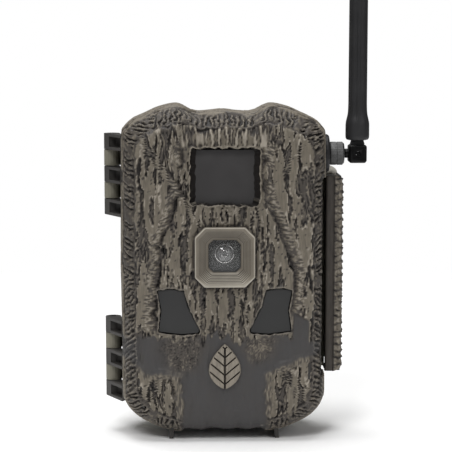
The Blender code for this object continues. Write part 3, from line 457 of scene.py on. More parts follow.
def bark_sides(skin, inset, rim_run, along):
    """Round the sides the bark goes on more gently, down to a plain lip at the seam, whose dark print is a
    painted shadow of the seam.
    """
    side = smooth(2.2, 1.2, inset)
    raised, line, edge = bark_plates(rim_run, along, 3.0, 14.0, 180)
    skin.lay(side, 0.7 * raised - 0.45 * line - 0.3 * edge, 0.40 + 0.42 * raised - 0.4 * line - 0.3 * edge)
    lip_with_seam_shadow = smooth(3.4, 2.4, rim_run)
    skin.height = skin.height * (1 - lip_with_seam_shadow)
    # The lip is darkened as a painted shadow of the seam.
    skin.lay(lip_with_seam_shadow, tan=0.16)


def flat_seats(skin, u, v, inset):
    """Flat places for the lens bezel and the emblem, and lips round the windows."""
    seat = smooth(1.2, 0.5, bezel_distance(u, v))
    skin.lay(seat, HOLLOW_FLOOR)
    skin.tan = skin.tan - 0.3 * seat
    badge = smooth(1.0, 0.0, box_distance(u, v, *BADGE))
    skin.lay(badge, HOLLOW_FLOOR)
    for distance, lift, shade in ((window_distance(u, v), 1.1, 0.70),
                                  (sensor_distance(u, v, -1), 0.45, 0.50),
                                  (sensor_distance(u, v, 1), 0.45, 0.50)):
        skin.lay(smooth(1.1, 0.5, distance) * (inset > 6.0), lift, shade)


def relief(u, v, inset, rim_run, along):
    """Height over the moulded surface in mm, and the print's values on it: how light and how
    slate it is."""
    wave = 1.1 * noise(u / 6.0, v / 5.0, 31) + 0.5 * noise(u / 2.4, v / 2.2, 32)
    grain = layered(u / 0.8, v / 5.0, 42, 2)
    wood = layered(u / 5.0, v / 16.0, 73, 3) * 0.55 + 0.05 * grain
    into_wing, wing_on = wings(u, v, wave)
    in_block, block_side = inside_blocks(u, v, wave)
    skin = bark_fields(u, v, into_wing, grain)
    torn_cliffs(skin, u, v, into_wing, wing_on)
    hollow = hollow_reach(u, v, wave, into_wing, wing_on, in_block)
    slate = smooth_hollow(skin, u, v, wave, hollow, wood)
    torn_block_tops(skin, u, v, in_block, block_side)
    window_brow(skin, u, v, wave)
    rim_band(skin, u, v, inset, rim_run, along, wave)
    bark_sides(skin, inset, rim_run, along)
    # the hollow runs out over the bottom edge without a rim
    run_out = smooth(-69.0, -72.0, v) * (1 - smooth(-0.6, 1.2, in_block)) * (np.abs(u) < 40.0)
    skin.lay(run_out, HOLLOW_FLOOR + wood, 0.30)
    flat_seats(skin, u, v, inset)
    slate = np.maximum(slate, run_out)
    return skin.height, {"tan": np.clip(skin.tan, 0.0, 1.2), "slate": np.clip(slate, 0, 1)}


# ---------------- mesh makers
def mesh_object(name, points, faces, attributes=None):
    """An object from millimetre points, with named values on its vertices."""
    mesh = bpy.data.meshes.new(name)
    mesh.from_pydata((np.asarray(points, float) * MM).tolist(), [], [list(map(int, f)) for f in faces])
    for key, values in (attributes or {}).items():
        layer = mesh.attributes.new(key, "FLOAT", "POINT")
        layer.data.foreach_set("value", np.asarray(values, np.float32))
    mesh.validate()
    mesh.shade_smooth()
    made = bpy.data.objects.new(name, mesh)
    bpy.context.scene.collection.objects.link(made)
    return made


@contextmanager
def edited(mesh):
    """A mesh opened for editing, and written back at the end."""
    bm = bmesh.new()
    bm.from_mesh(mesh)
    yield bm
    bm.to_mesh(mesh)
    bm.free()


def extruded(bm, edges):
    """Extrudes edges; gives the new vertices, the new outer edges and the new faces."""
    made = bmesh.ops.extrude_edge_only(bm, edges=edges)["geom"]
    kinds = (bmesh.types.BMVert, bmesh.types.BMEdge, bmesh.types.BMFace)
    verts, edges, faces = ([g for g in made if isinstance(g, kind)] for kind in kinds)
    return verts, [e for e in edges if e.is_boundary], faces


def vertex_normals(points, faces):
    """Average normals of a quad mesh."""
    corner = points[faces]
    normal = np.cross(corner[:, 2] - corner[:, 0], corner[:, 3] - corner[:, 1])
    total = np.zeros_like(points)
    for k in range(4):
        np.add.at(total, faces[:, k], normal)
    return total / np.maximum(np.linalg.norm(total, axis=1), 1e-12)[:, None]


def snap(points, faces, distance, spread=0.05):
    """Cuts the skin where distance is negative, and pulls the cut's border onto its outline."""
    value = distance(points)
    gone = value[faces].mean(axis=1) < 0
    border = np.intersect1d(np.unique(faces[gone]), np.unique(faces[~gone]))
    for _ in range(2):
        here = points[border]
        value = distance(here)
        slope = np.zeros_like(here)
        for axis in (0, 2):
            shifted = here.copy()
            shifted[:, axis] += spread
            slope[:, axis] = (distance(shifted) - value) / spread
        size = np.maximum((slope ** 2).sum(axis=1), 0.25)
        points[border] -= slope * (value / size)[:, None]
    return faces[~gone], border


def on_face(test):
    """Limits a distance in the face plane to the front of the cover."""
    return lambda p: np.where(p[:, 1] < -60.0, test(p[:, 0], p[:, 2]), 99.0)


def recess_distance(p):
    return np.maximum(np.maximum(RECESS_X - p[:, 0], p[:, 2] - RECESS_HIGH), RECESS_LOW - p[:, 2])


def cover_skin():
    """The cover's outer skin in bark relief, with its openings turned inwards."""
    points, faces, unrolled, inset, travelled, along = housing_grid(
        COVER_PROFILE, FACE_BORDER, FACE_COLUMNS, FACE_ROWS, SIDE_ROWS)
    openings = (
        ("window", on_face(window_distance)),
        ("left_sensor", on_face(lambda x, z: sensor_distance(x, z, -1))),
        ("right_sensor", on_face(lambda x, z: sensor_distance(x, z, 1))),
        ("lens", on_face(lambda x, z: box_distance(x, z, 0.0, LENS_Z, BEZEL_BORE, BEZEL_BORE,
                                                   BEZEL_BORE_CHAMFER))),
        ("latch", recess_distance),
    )
    borders = {}
    for name, distance in openings:
        faces, borders[name] = snap(points, faces, distance)
    height, print_values = relief(unrolled[:, 0], unrolled[:, 1], inset, travelled, along)
    seat = np.hypot(points[:, 1] - FLANGE_Y, points[:, 2] - FLANGE_Z) - FLANGE_SEAT
    height = np.where((points[:, 0] > 30.0) & (seat < 0), -1.0, height)
    moved = points + vertex_normals(points, faces) * height[:, None]
    rim = np.flatnonzero(travelled < 1e-6)
    moved[rim] = points[rim]
    made = mesh_object("cover_bark", moved, faces, print_values)
    turn_in(made, {name: set(border.tolist()) for name, border in borders.items()}, set(rim.tolist()))
    return made


def turn_in(made, borders, rim):
    """Folds the skin inwards along its openings and its rim, so that it has a thickness."""
    window_middle = Vector((0.0, 0.0, WINDOW[1] * MM))

    def sink(depth):
        return lambda co: Vector((co.x, depth * MM, co.z))

    def window_slope(co):
        side = co - window_middle
        return Vector((side.x * 0.84, WINDOW_BACK * MM, window_middle.z + side.z * 0.95))

    def shift(x, y):
        return lambda co: co + Vector((x, y, 0.0)) * MM

    def shrink(co):
        return Vector((co.x * 0.965, co.y, co.z * 0.977))

    with edited(made.data) as bm:
        bm.verts.ensure_lookup_table()
        tan = bm.verts.layers.float["tan"]

        def fold(members, *places, slot=0):
            edges = [e for e in bm.edges if e.is_boundary and e.verts[0].index in members
                     and e.verts[1].index in members]
            for place, shade in places:
                verts, edges, faces = extruded(bm, edges)
                for vert in verts:
                    vert.co = place(vert.co)
                    vert[tan] = shade
                for face in faces:
                    face.material_index = slot

        # The walls turned in round the window, the motion sensors and the lens take the darkest print and
        # the near-black second material: painted shade in the deep openings.
        fold(borders["window"], (shift(0.0, 0.35), 0.0), (window_slope, 0.0), slot=1)
        for side in ("left_sensor", "right_sensor"):
            fold(borders[side], (shift(0.0, 0.3), 0.0), (sink(SENSOR_BACK), 0.0), slot=1)
        fold(borders["lens"], (sink(LENS_BACK), 0.0), slot=1)
        fold(borders["latch"], (shift(-1.2, 1.4), 0.1))
        fold(rim, (shrink, 0.3))


# ---------------- copies of CAD nodes
WELD = 0.000004                          # metres; corners of a CAD mesh nearer than this are one


def copied(node, name):
    """A copy of a CAD node as an object of its own."""
    made = bpy.data.objects.new(name, NODES[node].data.copy())
    bpy.context.scene.collection.objects.link(made)
    return made


def shrunk(node, name, move):
    """A copy of a CAD node with its points moved by a rule, in mm."""
    made = copied(node, name)
    points = np.zeros(len(made.data.vertices) * 3)
    made.data.vertices.foreach_get("co", points)
    points = move(points.reshape(-1, 3) / MM) * MM
    made.data.vertices.foreach_set("co", points.ravel())
    made.data.update()
    return made


def welded(node, name, flatten=False):
    """A smooth-shaded copy whose doubled corners are joined, and whose flat faces can be too."""
    made = copied(node, name)
    with edited(made.data) as bm:
        bmesh.ops.remove_doubles(bm, verts=bm.verts, dist=WELD)
        if flatten:
            bmesh.ops.dissolve_limit(bm, angle_limit=math.radians(0.5), verts=bm.verts, edges=bm.edges)
    made.data.shade_smooth()
    return made


def softened(node, name, width, angle=35.0):
    """A copy of a CAD node with rounded edges."""
    made = welded(node, name, flatten=True)
    bevel = made.modifiers.new("edges", "BEVEL")
    bevel.width, bevel.segments = width * MM, 2
    bevel.limit_method, bevel.angle_limit = "ANGLE", math.radians(angle)
    bevel.harden_normals = True
    return made


def smoothed(node, name, angle=32.0):
    """A copy of a CAD node whose curved faces are shaded smooth."""
    made = welded(node, name)
    made.data.set_sharp_from_angle(angle=math.radians(angle))
    made.modifiers.new("even", "WEIGHTED_NORMAL").keep_sharp = True
    return made


def repaint(made, slot, test):
    """Gives one of a piece's materials to the faces whose centre, in mm, passes a test."""
    for face in made.data.polygons:
        if test(*(face.center / MM)):
            face.material_index = slot


def under_skin(points):
    """Draws the cover's outer faces in a little, so that the skin hides them."""
    inset, depth = np.array(COVER_PROFILE[:-1]).T
    here = np.interp(-points[:, 1], -depth, inset)
    flat_x = points[:, 0] / (1 - here / HALF_WIDTH)
    flat_z = points[:, 2] / (1 - here / HALF_HEIGHT)
    rim = at_angle(np.arctan2(flat_z, flat_x), np.hypot(*CURVE.T))
    outer = (np.abs(np.hypot(flat_x, flat_z) - rim) < 0.9) | (points[:, 1] < FRONT_FACE + 0.3)
    outer &= points[:, 2] > FEET_TOP
    moved = points.copy()
    moved[outer, 0] *= 1 - UNDER_SKIN / HALF_WIDTH
    moved[outer, 2] *= 1 - UNDER_SKIN / HALF_HEIGHT
    moved[outer, 1] += 1.3 * np.clip((-58.0 - points[outer, 1]) / 10.0, 0, 1)
    return moved


# ---------------- latch lever
LEVER_PATH = (
    (53.4, -47.8), (52.9, -48.5), (52.75, -49.3), (52.9, -50.0), (53.5, -50.3), (56.6, -50.3),
    (57.2, -50.4), (57.8, -50.7), (59.6, -50.8), (60.8, -50.3), (61.5, -49.2), (61.6, -47.5),
    (61.6, -30.5), (61.3, -29.2), (60.6, -28.9),
)
LEVER_SPACING = 0.45
STRIP_EDGE = 57.2                        # the lever is smooth up to here, and bark beyond


def resample(points, spacing):
    """Even steps along a polyline."""
    points = np.array(points, float)
    run = np.concatenate(([0.0], np.cumsum(np.hypot(*np.diff(points, axis=0).T))))
    steps = np.linspace(0.0, run[-1], int(run[-1] / spacing) + 1)
    return np.stack([np.interp(steps, run, points[:, k]) for k in (0, 1)], -1), steps


def sheet_quads(rows, columns):
    start = (np.arange(rows - 1)[:, None] * columns + np.arange(columns - 1)).ravel()
    return np.stack((start, start + 1, start + columns + 1, start + columns), -1)


def plain_print(tan):
    """Print values of a piece that has no slate part."""
    return {"tan": tan, "slate": 0 * tan}


def lever_skin():
    """The lever's outer skin: a smooth strip beside lumpy bark that turns round its side."""
    low, high = (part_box("latch_lever")[k].z / MM for k in (0, 1))
    path, run = resample(LEVER_PATH, LEVER_SPACING)
    levels = np.linspace(low - 0.2, high + 0.2, int((high - low) / LEVER_SPACING))
    z, x = np.meshgrid(levels, path[:, 0], indexing="ij")
    _, y = np.meshgrid(levels, path[:, 1], indexing="ij")
    _, q = np.meshgrid(levels, run, indexing="ij")
    end = np.minimum(z - low + 0.2, high + 0.2 - z)
    corner = 3.4
    rounding = corner * (1 - np.sqrt(1 - np.clip(1 - end / corner, 0, 1) ** 2))
    x = x - rounding * np.clip((x - 55.0) / 6.5, 0, 1)
    points = np.stack((x, y, z), -1).reshape(-1, 3)
    faces = sheet_quads(len(levels), len(path))
    bark_side = smooth(STRIP_EDGE - 0.1, STRIP_EDGE + 0.5, np.where(y < -48.0, x, 60.0)) * (q > 4.0)
    notch_place = z + 1.1 * noise(z / 5.0, q / 3.0, 201)
    notches = smooth(0.45, 0.9, np.cos(notch_place * 2 * math.pi / 3.6))
    lumps = noise(q / 2.1, z / 2.4, 202) + 0.6 * noise(q / 1.0, z / 1.2, 203)
    height = bark_side * (0.25 + 0.45 * lumps - 0.55 * notches) + 0.03 * noise(q / 3.0, z / 9.0, 204)
    seam = np.exp(-((x - STRIP_EDGE + 0.1) / 0.3) ** 2) * (y < -49.0) * (q > 3.0)
    height -= 0.3 * seam
    height *= smooth(0.0, 1.2, end) * smooth(0.0, 1.0, run[-1] - q)
    tan = 0.43 + bark_side * (0.32 + 0.42 * lumps - 0.45 * notches) - 0.35 * seam
    normals = -vertex_normals(points, faces)
    points = points + normals * height.reshape(-1)[:, None]
    made = mesh_object("latch_bark", points, faces[:, ::-1],
                       plain_print(np.clip(tan, 0, 1).ravel()))
    with edited(made.data) as bm:
        for vert in extruded(bm, [e for e in bm.edges if e.is_boundary])[0]:
            vert.co += Vector((-0.35, 0.5, 0.4 if vert.co.z < 0 else -0.4)) * MM
    return made


def lever_core(points):
    """Draws the lever's outer faces in a little, under its skin."""
    moved = points.copy()
    moved[points[:, 0] > 61.0, 0] -= 0.7
    moved[points[:, 1] < -49.7, 1] += 0.7
    return moved


# ---------------- turned and ringed pieces
def ring_mesh(name, rings, closed=True):
    """Skins rings of equal count; closed joins the last ring to the first, else caps both ends."""
    rings = [np.asarray(ring, float) for ring in rings]
    count, points = len(rings[0]), np.concatenate(rings)
    faces = []
    pairs = list(zip(range(len(rings)), range(1, len(rings))))
    if closed:
        pairs.append((len(rings) - 1, 0))
    for near, far in pairs:
        for i in range(count):
            j = (i + 1) % count
            faces.append((near * count + i, near * count + j, far * count + j, far * count + i))
    if not closed:
        faces.append(tuple(range(count - 1, -1, -1)))
        last = (len(rings) - 1) * count
        faces.append(tuple(range(last, last + count)))
    made = mesh_object(name, points, faces)
    with edited(made.data) as bm:
        bmesh.ops.recalc_face_normals(bm, faces=bm.faces)
    made.data.shade_smooth()
    made.data.set_sharp_from_angle(angle=math.radians(35.0))
    return made


KNURLS = 42


def knurled_nut():
    """The nut with straight knurls between two chamfers, round its thread's bore."""
    low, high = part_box("antenna_nut")
    near, far = low.x / MM, high.x / MM
    centre_y, centre_z = (low.y + high.y) / 2 / MM, (low.z + high.z) / 2 / MM
    stations = ((near, 3.5, 0), (near, 5.3, 0), (near + 0.4, 5.75, 0), (near + 0.7, 5.85, 1),
                (near + 3.4, 5.85, 1), (near + 3.5, 5.65, 0), (near + 3.8, 5.65, 0), (near + 3.9, 5.85, 1),
                (far - 0.8, 5.85, 1), (far - 0.6, 5.6, 0), (far, 5.1, 0), (far, 2.7, 0),
                (far - 0.5, 2.7, 0), (far - 0.5, 3.5, 0))
    turns = np.linspace(0, 2 * math.pi, KNURLS * 4, endpoint=False)
    tooth = 0.16 * (np.abs(((turns * KNURLS / (2 * math.pi)) % 1.0) - 0.5) * 2 - 0.5)
    rings = []
    for x, radius, knurl in stations:
        r = radius + knurl * tooth
        rings.append(np.stack((np.full_like(r, x), centre_y + r * np.cos(turns),
                               centre_z + r * np.sin(turns)), -1))
    return ring_mesh("knurled_nut", rings)


def shaded(made, shades):
    """Puts painted light and shade on a mesh's vertices, as their lightness."""
    made.data.attributes.new("tan", "FLOAT", "POINT").data.foreach_set("value", shades)
    return made


def octagon(half, chamfer, y, centre_z=LENS_Z, radius=0.5):
    """An octagon with its corners slightly rounded."""
    corners = []
    inner = half - chamfer
    for sx, sz in ((1, 1), (-1, 1), (-1, -1), (1, -1)):
        pair = [(sx * half, sz * inner), (sx * inner, sz * half)]
        corners += pair if sx * sz > 0 else pair[::-1]
    points = []
    for i in range(len(corners)):
        here, back, ahead = (Vector(corners[k % 8]) for k in (i, i - 1, i + 1))
        start = here + (back - here).normalized() * radius
        stop = here + (ahead - here).normalized() * radius
        points += [start, start.lerp(stop, 0.5).lerp(here, 0.45), stop]
    return [(p.x, y, centre_z + p.y) for p in points]


def stepped_bezel():
    """The lens bezel: a raised rim, fine terraces down to the glass, and its sleeve behind. Each row
    carries painted light and shade: bright on the rim's crest, dark on the terraces' risers, and lighter
    on the bezel's lower side, as if lit from above.
    """
    def ring(half, y):
        return octagon(half, 2.4 + (half - 8.3) * 0.375, y)
    # The third value of each row is a painted shade: lightest on the rim's crest, darkest on the terraces'
    # risers.
    rows = [(15.2, -70.8, 0.4), (15.2, -73.0, 0.5), (15.05, -73.5, 0.9), (14.75, -73.7, 1.0),
            (14.45, -73.6, 0.55), (13.75, -73.5, 0.5), (13.6, -73.1, 0.35)]
    terraces, top, bottom = 6, -73.1, -68.2
    for k in range(terraces):
        half = 13.40 - k * 0.66
        y = top + (bottom - top) * (k + 0.15) / terraces
        rows += [(half, y, 0.62), (half - 0.34, y + 0.03, 0.62), (half - 0.38, y + 0.70, 0.05),
                 (half - 0.56, y + 0.74, 0.10)]
    rows += [(9.3, -68.1, 0.5), (8.5, -67.6, 0.4), (8.15, -67.2, 0.1), (8.15, -66.2, 0.1),
             (9.7, -66.2, 0.1), (9.7, -62.0, 0.3), (12.6, -62.0, 0.3), (12.6, -70.8, 0.3)]
    made = ring_mesh("stepped_bezel", [ring(half, y) for half, y, _ in rows])
    shades = np.repeat([shade for _, _, shade in rows], len(made.data.vertices) // len(rows))
    # Treads on the lower side are lightened further: a painted highlight for light falling from above.
    lit_low_side = np.array([LENS_Z - vert.co.z / MM > 0.92 * abs(vert.co.x / MM)
                         for vert in made.data.vertices])
    return shaded(made, np.where(lit_low_side & (shades > 0.3), shades + 0.35, shades))


WHIP_FLUTES = 10


def whip_sleeve():
    """The antenna's sleeve: a bulb at its foot, and long shallow flutes up the whip."""
    low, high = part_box("antenna_whip")
    x, y, top = (low.x + high.x) / 2 / MM, (low.y + high.y) / 2 / MM, high.z / MM
    sections = [(66.3, 4.6, 0), (66.6, 5.5, 0), (67.4, 6.0, 0), (69.0, 6.1, 0), (74.0, 6.1, 0.1),
                (75.8, 5.95, 0.3), (77.6, 5.5, 0.6), (79.4, 5.1, 0.9), (81.4, 4.9, 1), (85.0, 4.8, 1),
                (140.0, 4.75, 1), (top - 6.0, 4.7, 1), (top - 2.5, 4.4, 0.5), (top - 0.8, 3.6, 0),
                (top, 2.2, 0)]
    turns = np.linspace(0, 2 * math.pi, 120, endpoint=False)
    flutes = -0.07 * smooth(-0.2, 0.5, np.cos(WHIP_FLUTES * turns))
    rings = []
    for z, r, fluted in sections:
        shape = 1.0 + fluted * flutes
        rings.append(np.stack((x + r * shape * np.cos(turns), y + 0.87 * r * shape * np.sin(turns),
                               np.full_like(turns, z)), -1))
    return ring_mesh("whip_sleeve", rings, closed=False)


def whip_core(points):
    """Keeps the whip's tab, and narrows the rest under its sleeve."""
    low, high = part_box("antenna_whip")
    centre = np.array(((low.x + high.x) / 2 / MM, (low.y + high.y) / 2 / MM))
    moved = points.copy()
    up = points[:, 2] > 66.2
    moved[up, :2] = centre + (points[up, :2] - centre) * 0.8
    moved[up, 2] = np.minimum(points[up, 2] + 0.4, high.z / MM - 1.5)
    return moved


RING_Z = LENS_Z + 0.9                    # the front lens sits a little above the pane's middle
BAFFLE_FRONT, BAFFLE_BACK, BAFFLE_HOLE, BAFFLE_HALF = -64.5, -63.9, 4.9, 9.4
LENS_RINGS = (("lens_ring", 4.85, -64.40, 0.75), ("lens_inner_rim", 1.75, -64.45, 0.50))


def lens_ring(name, radius, y, width):
    """A polished ring round the front lens, whose inner wall slopes down to the glass."""
    section = ((0.0, 0.25), (0.0, 0.0), (-0.35 * width, -0.08), (-0.5 * width, 0.0),
               (-width, 0.8 * width),
               (-width, 1.1 * width))
    rings = []
    for turn in np.linspace(0, 2 * math.pi, 96, endpoint=False):
        rings.append([((radius + out) * math.cos(turn), y + back, RING_Z + (radius + out) * math.sin(turn))
                      for out, back in section])
    return ring_mesh(name, rings)


def lens_baffle():
    """The grey plate behind the pane, with a painted shadow of the bezel darkening it towards its top, and
    a round hole for the lens.
    """
    turns = np.linspace(0, 2 * math.pi, 96, endpoint=False)
    reach = np.abs(np.stack((np.cos(turns), np.sin(turns), (np.cos(turns) + np.sin(turns)) / 1.72,
                             (np.cos(turns) - np.sin(turns)) / 1.72))).max(axis=0)
    rings = []
    hole, rim = np.full_like(turns, BAFFLE_HOLE), BAFFLE_HALF / reach
    for y, radius, middle in ((BAFFLE_FRONT, rim, LENS_Z), (BAFFLE_FRONT, hole, RING_Z),
                              (BAFFLE_BACK, hole, RING_Z), (BAFFLE_BACK, rim, LENS_Z)):
        rings.append(np.stack((radius * np.cos(turns), np.full_like(turns, y),
                               middle + radius * np.sin(turns)), -1))
    made = ring_mesh("lens_baffle", rings)
    # Painted shadow: the plate's shade runs from dark at its top to light at its bottom.
    out_of_shadow = LENS_Z + 6.5 - np.array([vert.co.z for vert in made.data.vertices]) / MM
    return shaded(made, np.clip(out_of_shadow / 13.0, 0.0, 1.0))


# ---------------- emblem
LEAF_LOW, LEAF_HIGH = -58.6, -35.4


def leaf_half_width(z):
    t = np.clip((z - LEAF_LOW) / (LEAF_HIGH - LEAF_LOW), 0, 1)
    return 8.2 * np.sin(math.pi * t ** 0.8) ** 0.85


def leaf_emblem():
    """A plain leaf with a midrib and side veins cut into it."""
    rows, columns = 84, 56
    z, s = np.meshgrid(np.linspace(LEAF_LOW, LEAF_HIGH, rows), np.linspace(-1, 1, columns),
                       indexing="ij")
    half = np.maximum(leaf_half_width(z), 0.25)
    x = s * half
    inward = half * (1 - np.abs(s))
    rib = np.exp(-(x / 0.42) ** 4)
    vein_place = (z - 0.85 * np.abs(x)) / 4.6 + 0.2
    veins = smooth(0.80, 0.97, np.cos(vein_place * 2 * math.pi)) * smooth(0.3, 0.9, inward)
    groove = np.maximum(rib * (z < LEAF_HIGH - 2.5), veins)
    height = 1.25 * smooth(0.0, 0.45, inward) - 0.95 * groove
    points = np.stack((x, -70.8 - height, z), -1).reshape(-1, 3)
    faces = sheet_quads(rows, columns)
    return mesh_object("leaf_emblem", points, faces, plain_print((0.9 - 0.9 * groove).ravel()))


# ---------------- materials
def new_look(name, **sockets):
    """A Principled material with constant values on its own sockets."""
    made = bpy.data.materials.new(name)
    made.use_nodes = True
    shader = made.node_tree.nodes["Principled BSDF"]
    for key, value in sockets.items():
        shader.inputs[key.replace("_", " ")].default_value = value
    return made, made.node_tree, shader


def put(tree, socket, value):
    """Gives a shader input a constant or a link."""
    if isinstance(value, bpy.types.NodeSocket):
        tree.links.new(value, socket)
    else:
        socket.default_value = value


def add(tree, kind, settings=None, **inputs):
    """A shader node with its settings, and its inputs as constants or links."""
    node = tree.nodes.new("ShaderNode" + kind)
    for key, value in (settings or {}).items():
        setattr(node, key, value)
    for key, value in inputs.items():
        put(tree, node.inputs[key.replace("_", " ")], value)
    return node


def blend(tree, factor, first, second):
    """Mixes two colours; each may be a constant or a link."""
    node = add(tree, "Mix", {"data_type": "RGBA"})
    for index, value in ((0, factor), (6, first), (7, second)):
        put(tree, node.inputs[index], (*value, 1.0) if isinstance(value, tuple) else value)
    return node.outputs[2]


def spot(tree, scale=(1.0, 1.0, 1.0)):
    """Object coordinates, stretched."""
    coordinates = add(tree, "TexCoord")
    mapping = add(tree, "Mapping", Vector=coordinates.outputs["Object"], Scale=scale)
    return mapping.outputs[0]


def clouds(tree, scale, stretch=(1.0, 1.0, 1.0), detail=4.0, roughness=0.55):
    return add(tree, "TexNoise", Vector=spot(tree, stretch), Scale=scale, Detail=detail,
               Roughness=roughness).outputs["Fac"]


def span(tree, value, low, high, to_low=0.0, to_high=1.0):
    """Maps a value from one range to another, and clamps it."""
    node = add(tree, "MapRange", Value=value, From_Min=low, From_Max=high, To_Min=to_low,
               To_Max=to_high)
    return node.outputs[0]


def sums(tree, operation, *values):
    """A Math node; each value may be a constant or a link."""
    node = add(tree, "Math", {"operation": operation})
    for socket, value in zip(node.inputs, values):
        put(tree, socket, value)
    return node.outputs[0]


def finish_with(tree, shader, colour, roughness, bump, strength, distance):
    """Links colour, roughness and a bump in metres to a shader."""
    tree.links.new(colour, shader.inputs["Base Color"])
    tree.links.new(roughness, shader.inputs["Roughness"])
    node = add(tree, "Bump", Height=bump, Strength=strength, Distance=distance)
    tree.links.new(node.outputs[0], shader.inputs["Normal"])


def bark_look(name, darkest, recess, tan, slate, light):
    """Bark print driven by the relief's own values, with fibres, mottling, and sharp convex edges
    lightened.
    """
    made, tree, shader = new_look(name, Specular_IOR_Level=0.3)
    printed = add(tree, "Attribute", {"attribute_name": "tan"}).outputs["Fac"]
    flat = add(tree, "Attribute", {"attribute_name": "slate"}).outputs["Fac"]
    fibres = clouds(tree, 900.0, (1.0, 1.0, 0.16), 3.0)
    mottle = clouds(tree, 140.0, (1.0, 1.0, 0.4), 3.0)
    drift = sums(tree, "MULTIPLY_ADD", mottle, 0.26, -0.13)
    value = sums(tree, "ADD", printed, drift)
    both = blend(tree, span(tree, value, 0.10, 0.34), darkest, recess)
    both = blend(tree, span(tree, value, 0.46, 0.62), both, tan)
    both = blend(tree, span(tree, value, 0.74, 1.05), both, light)
    both = blend(tree, span(tree, fibres, 0.35, 0.7, 0.0, 0.35), both, darkest)
    smooth_part = blend(tree, span(tree, mottle, 0.35, 0.75, 0.0, 0.3), slate, recess)
    both = blend(tree, flat, both, smooth_part)
    # Sharp convex edges, found by the mesh's pointiness, are blended towards the light colour.
    edges = add(tree, "NewGeometry").outputs["Pointiness"]
    both = blend(tree, span(tree, edges, 0.52, 0.60, 0.0, 0.5), both, light)
    rough = span(tree, mottle, 0.3, 0.7, 0.48, 0.66)
    finish_with(tree, shader, both, rough, value, 0.8, 0.0004)
    return made


def moulded_look(name, colour, tint=0.25, rough=(0.45, 0.6), grain=1800.0, strength=0.15, **sockets):
    """Moulded plastic or rubber: faint colour drift, spark-eroded grain and uneven sheen."""
    made, tree, shader = new_look(name, **{"Specular_IOR_Level": 0.3, **sockets})
    drift = clouds(tree, 60.0, detail=3.0)
    darker = tuple(c * (1.0 - tint) for c in colour)
    lighter = tuple(min(1.0, c * (1.0 + tint)) for c in colour)
    shade = blend(tree, span(tree, drift, 0.3, 0.7), darker, lighter)
    texture = clouds(tree, grain, detail=2.0)
    finish_with(tree, shader, shade, span(tree, drift, 0.3, 0.7, *rough), texture, strength, 0.0001)
    return made


def shade_painted_look(name, dark, colour, light):
    """Moulded plastic, dark to light by the painted light and shade in the mesh's own values."""
    made, tree, shader = new_look(name, Specular_IOR_Level=0.35)
    value = add(tree, "Attribute", {"attribute_name": "tan"}).outputs["Fac"]
    drift = clouds(tree, 90.0, detail=3.0)
    shade = blend(tree, span(tree, value, 0.0, 0.45), dark, colour)
    shade = blend(tree, span(tree, value, 0.6, 1.0), shade, light)
    shade = blend(tree, span(tree, drift, 0.35, 0.7, 0.0, 0.25), shade, dark)
    finish_with(tree, shader, shade, span(tree, drift, 0.3, 0.7, 0.42, 0.55),
                clouds(tree, 1500.0, detail=2.0), 0.08, 0.0001)
    return made


def metal_look(name, colour, rough=(0.2, 0.38), stretch=(1.0, 1.0, 8.0), strength=0.1):
    """Bare metal with drawn marks and handling smears."""
    made, tree, shader = new_look(name, Metallic=1.0)
    marks = clouds(tree, 1500.0, stretch, 3.0)
    smears = clouds(tree, 120.0, detail=3.0)
    worn = tuple(c * 0.75 for c in colour)
    shade = blend(tree, span(tree, smears, 0.3, 0.7), worn, colour)
    finish_with(tree, shader, shade, span(tree, marks, 0.3, 0.7, *rough), marks, strength, 0.00005)
    return made


LOOKS = {
    "bark_plastic": bark_look("bark_print", (0.011, 0.009, 0.008), (0.068, 0.059, 0.051),
                              (0.160, 0.139, 0.108), (0.050, 0.048, 0.048), (0.330, 0.295, 0.245)),
    "tan_plastic": moulded_look("olive_tan_plastic", (0.182, 0.172, 0.134), 0.12),
    "black_plastic": moulded_look("black_plastic", (0.012, 0.012, 0.013), 0.3, (0.35, 0.55)),
    "smoked_plastic": moulded_look("smoked_plastic", (0.044, 0.042, 0.042), 0.08, (0.3, 0.4),
                                   600.0, 0.0),
    "black_rubber": moulded_look("black_rubber", (0.018, 0.018, 0.018), 0.3, (0.6, 0.8), 1200.0, 0.3),
    "silicone": moulded_look("silicone_seal", (0.34, 0.10, 0.03), 0.15, (0.4, 0.55)),
    "steel": metal_look("bright_steel", (0.60, 0.60, 0.61)),
    "brass": metal_look("brass", (0.75, 0.55, 0.27)),
    "board_green": moulded_look("board_lacquer", (0.012, 0.11, 0.045), 0.35, (0.2, 0.35), 500.0, 0.2),
    "clear_glass": moulded_look("lens_glass", (0.13, 0.13, 0.13), 0.4, (0.05, 0.09), 300.0, 0.0,
                                Specular_IOR_Level=0.9, Coat_Weight=0.6),
    "filter_glass": moulded_look("filter_glass", (0.25, 0.06, 0.10), 0.1, (0.03, 0.08), 300.0, 0.01),
    "cell_wrap": moulded_look("cell_wrap", (0.42, 0.22, 0.07), 0.2, (0.22, 0.35), 700.0, 0.05,
                              Metallic=0.6),
    "antenna_plastic": moulded_look("antenna_plastic", (0.020, 0.020, 0.021), 0.15, (0.38, 0.5),
                                    1500.0, 0.1),
    "elbow_plastic": moulded_look("elbow_plastic", (0.004, 0.004, 0.004), 0.2, (0.25, 0.35), 900.0,
                                  0.03, Specular_IOR_Level=0.15),
    "nut_metal": metal_look("blackened_metal", (0.11, 0.11, 0.11), (0.5, 0.62)),
    "card_plastic": moulded_look("card_plastic", (0.012, 0.020, 0.055), 0.2, (0.3, 0.45)),
}


BARK = LOOKS["bark_plastic"]
DARK_BARK = moulded_look("dark_bark_plastic", (0.050, 0.047, 0.044), 0.2, (0.5, 0.65))
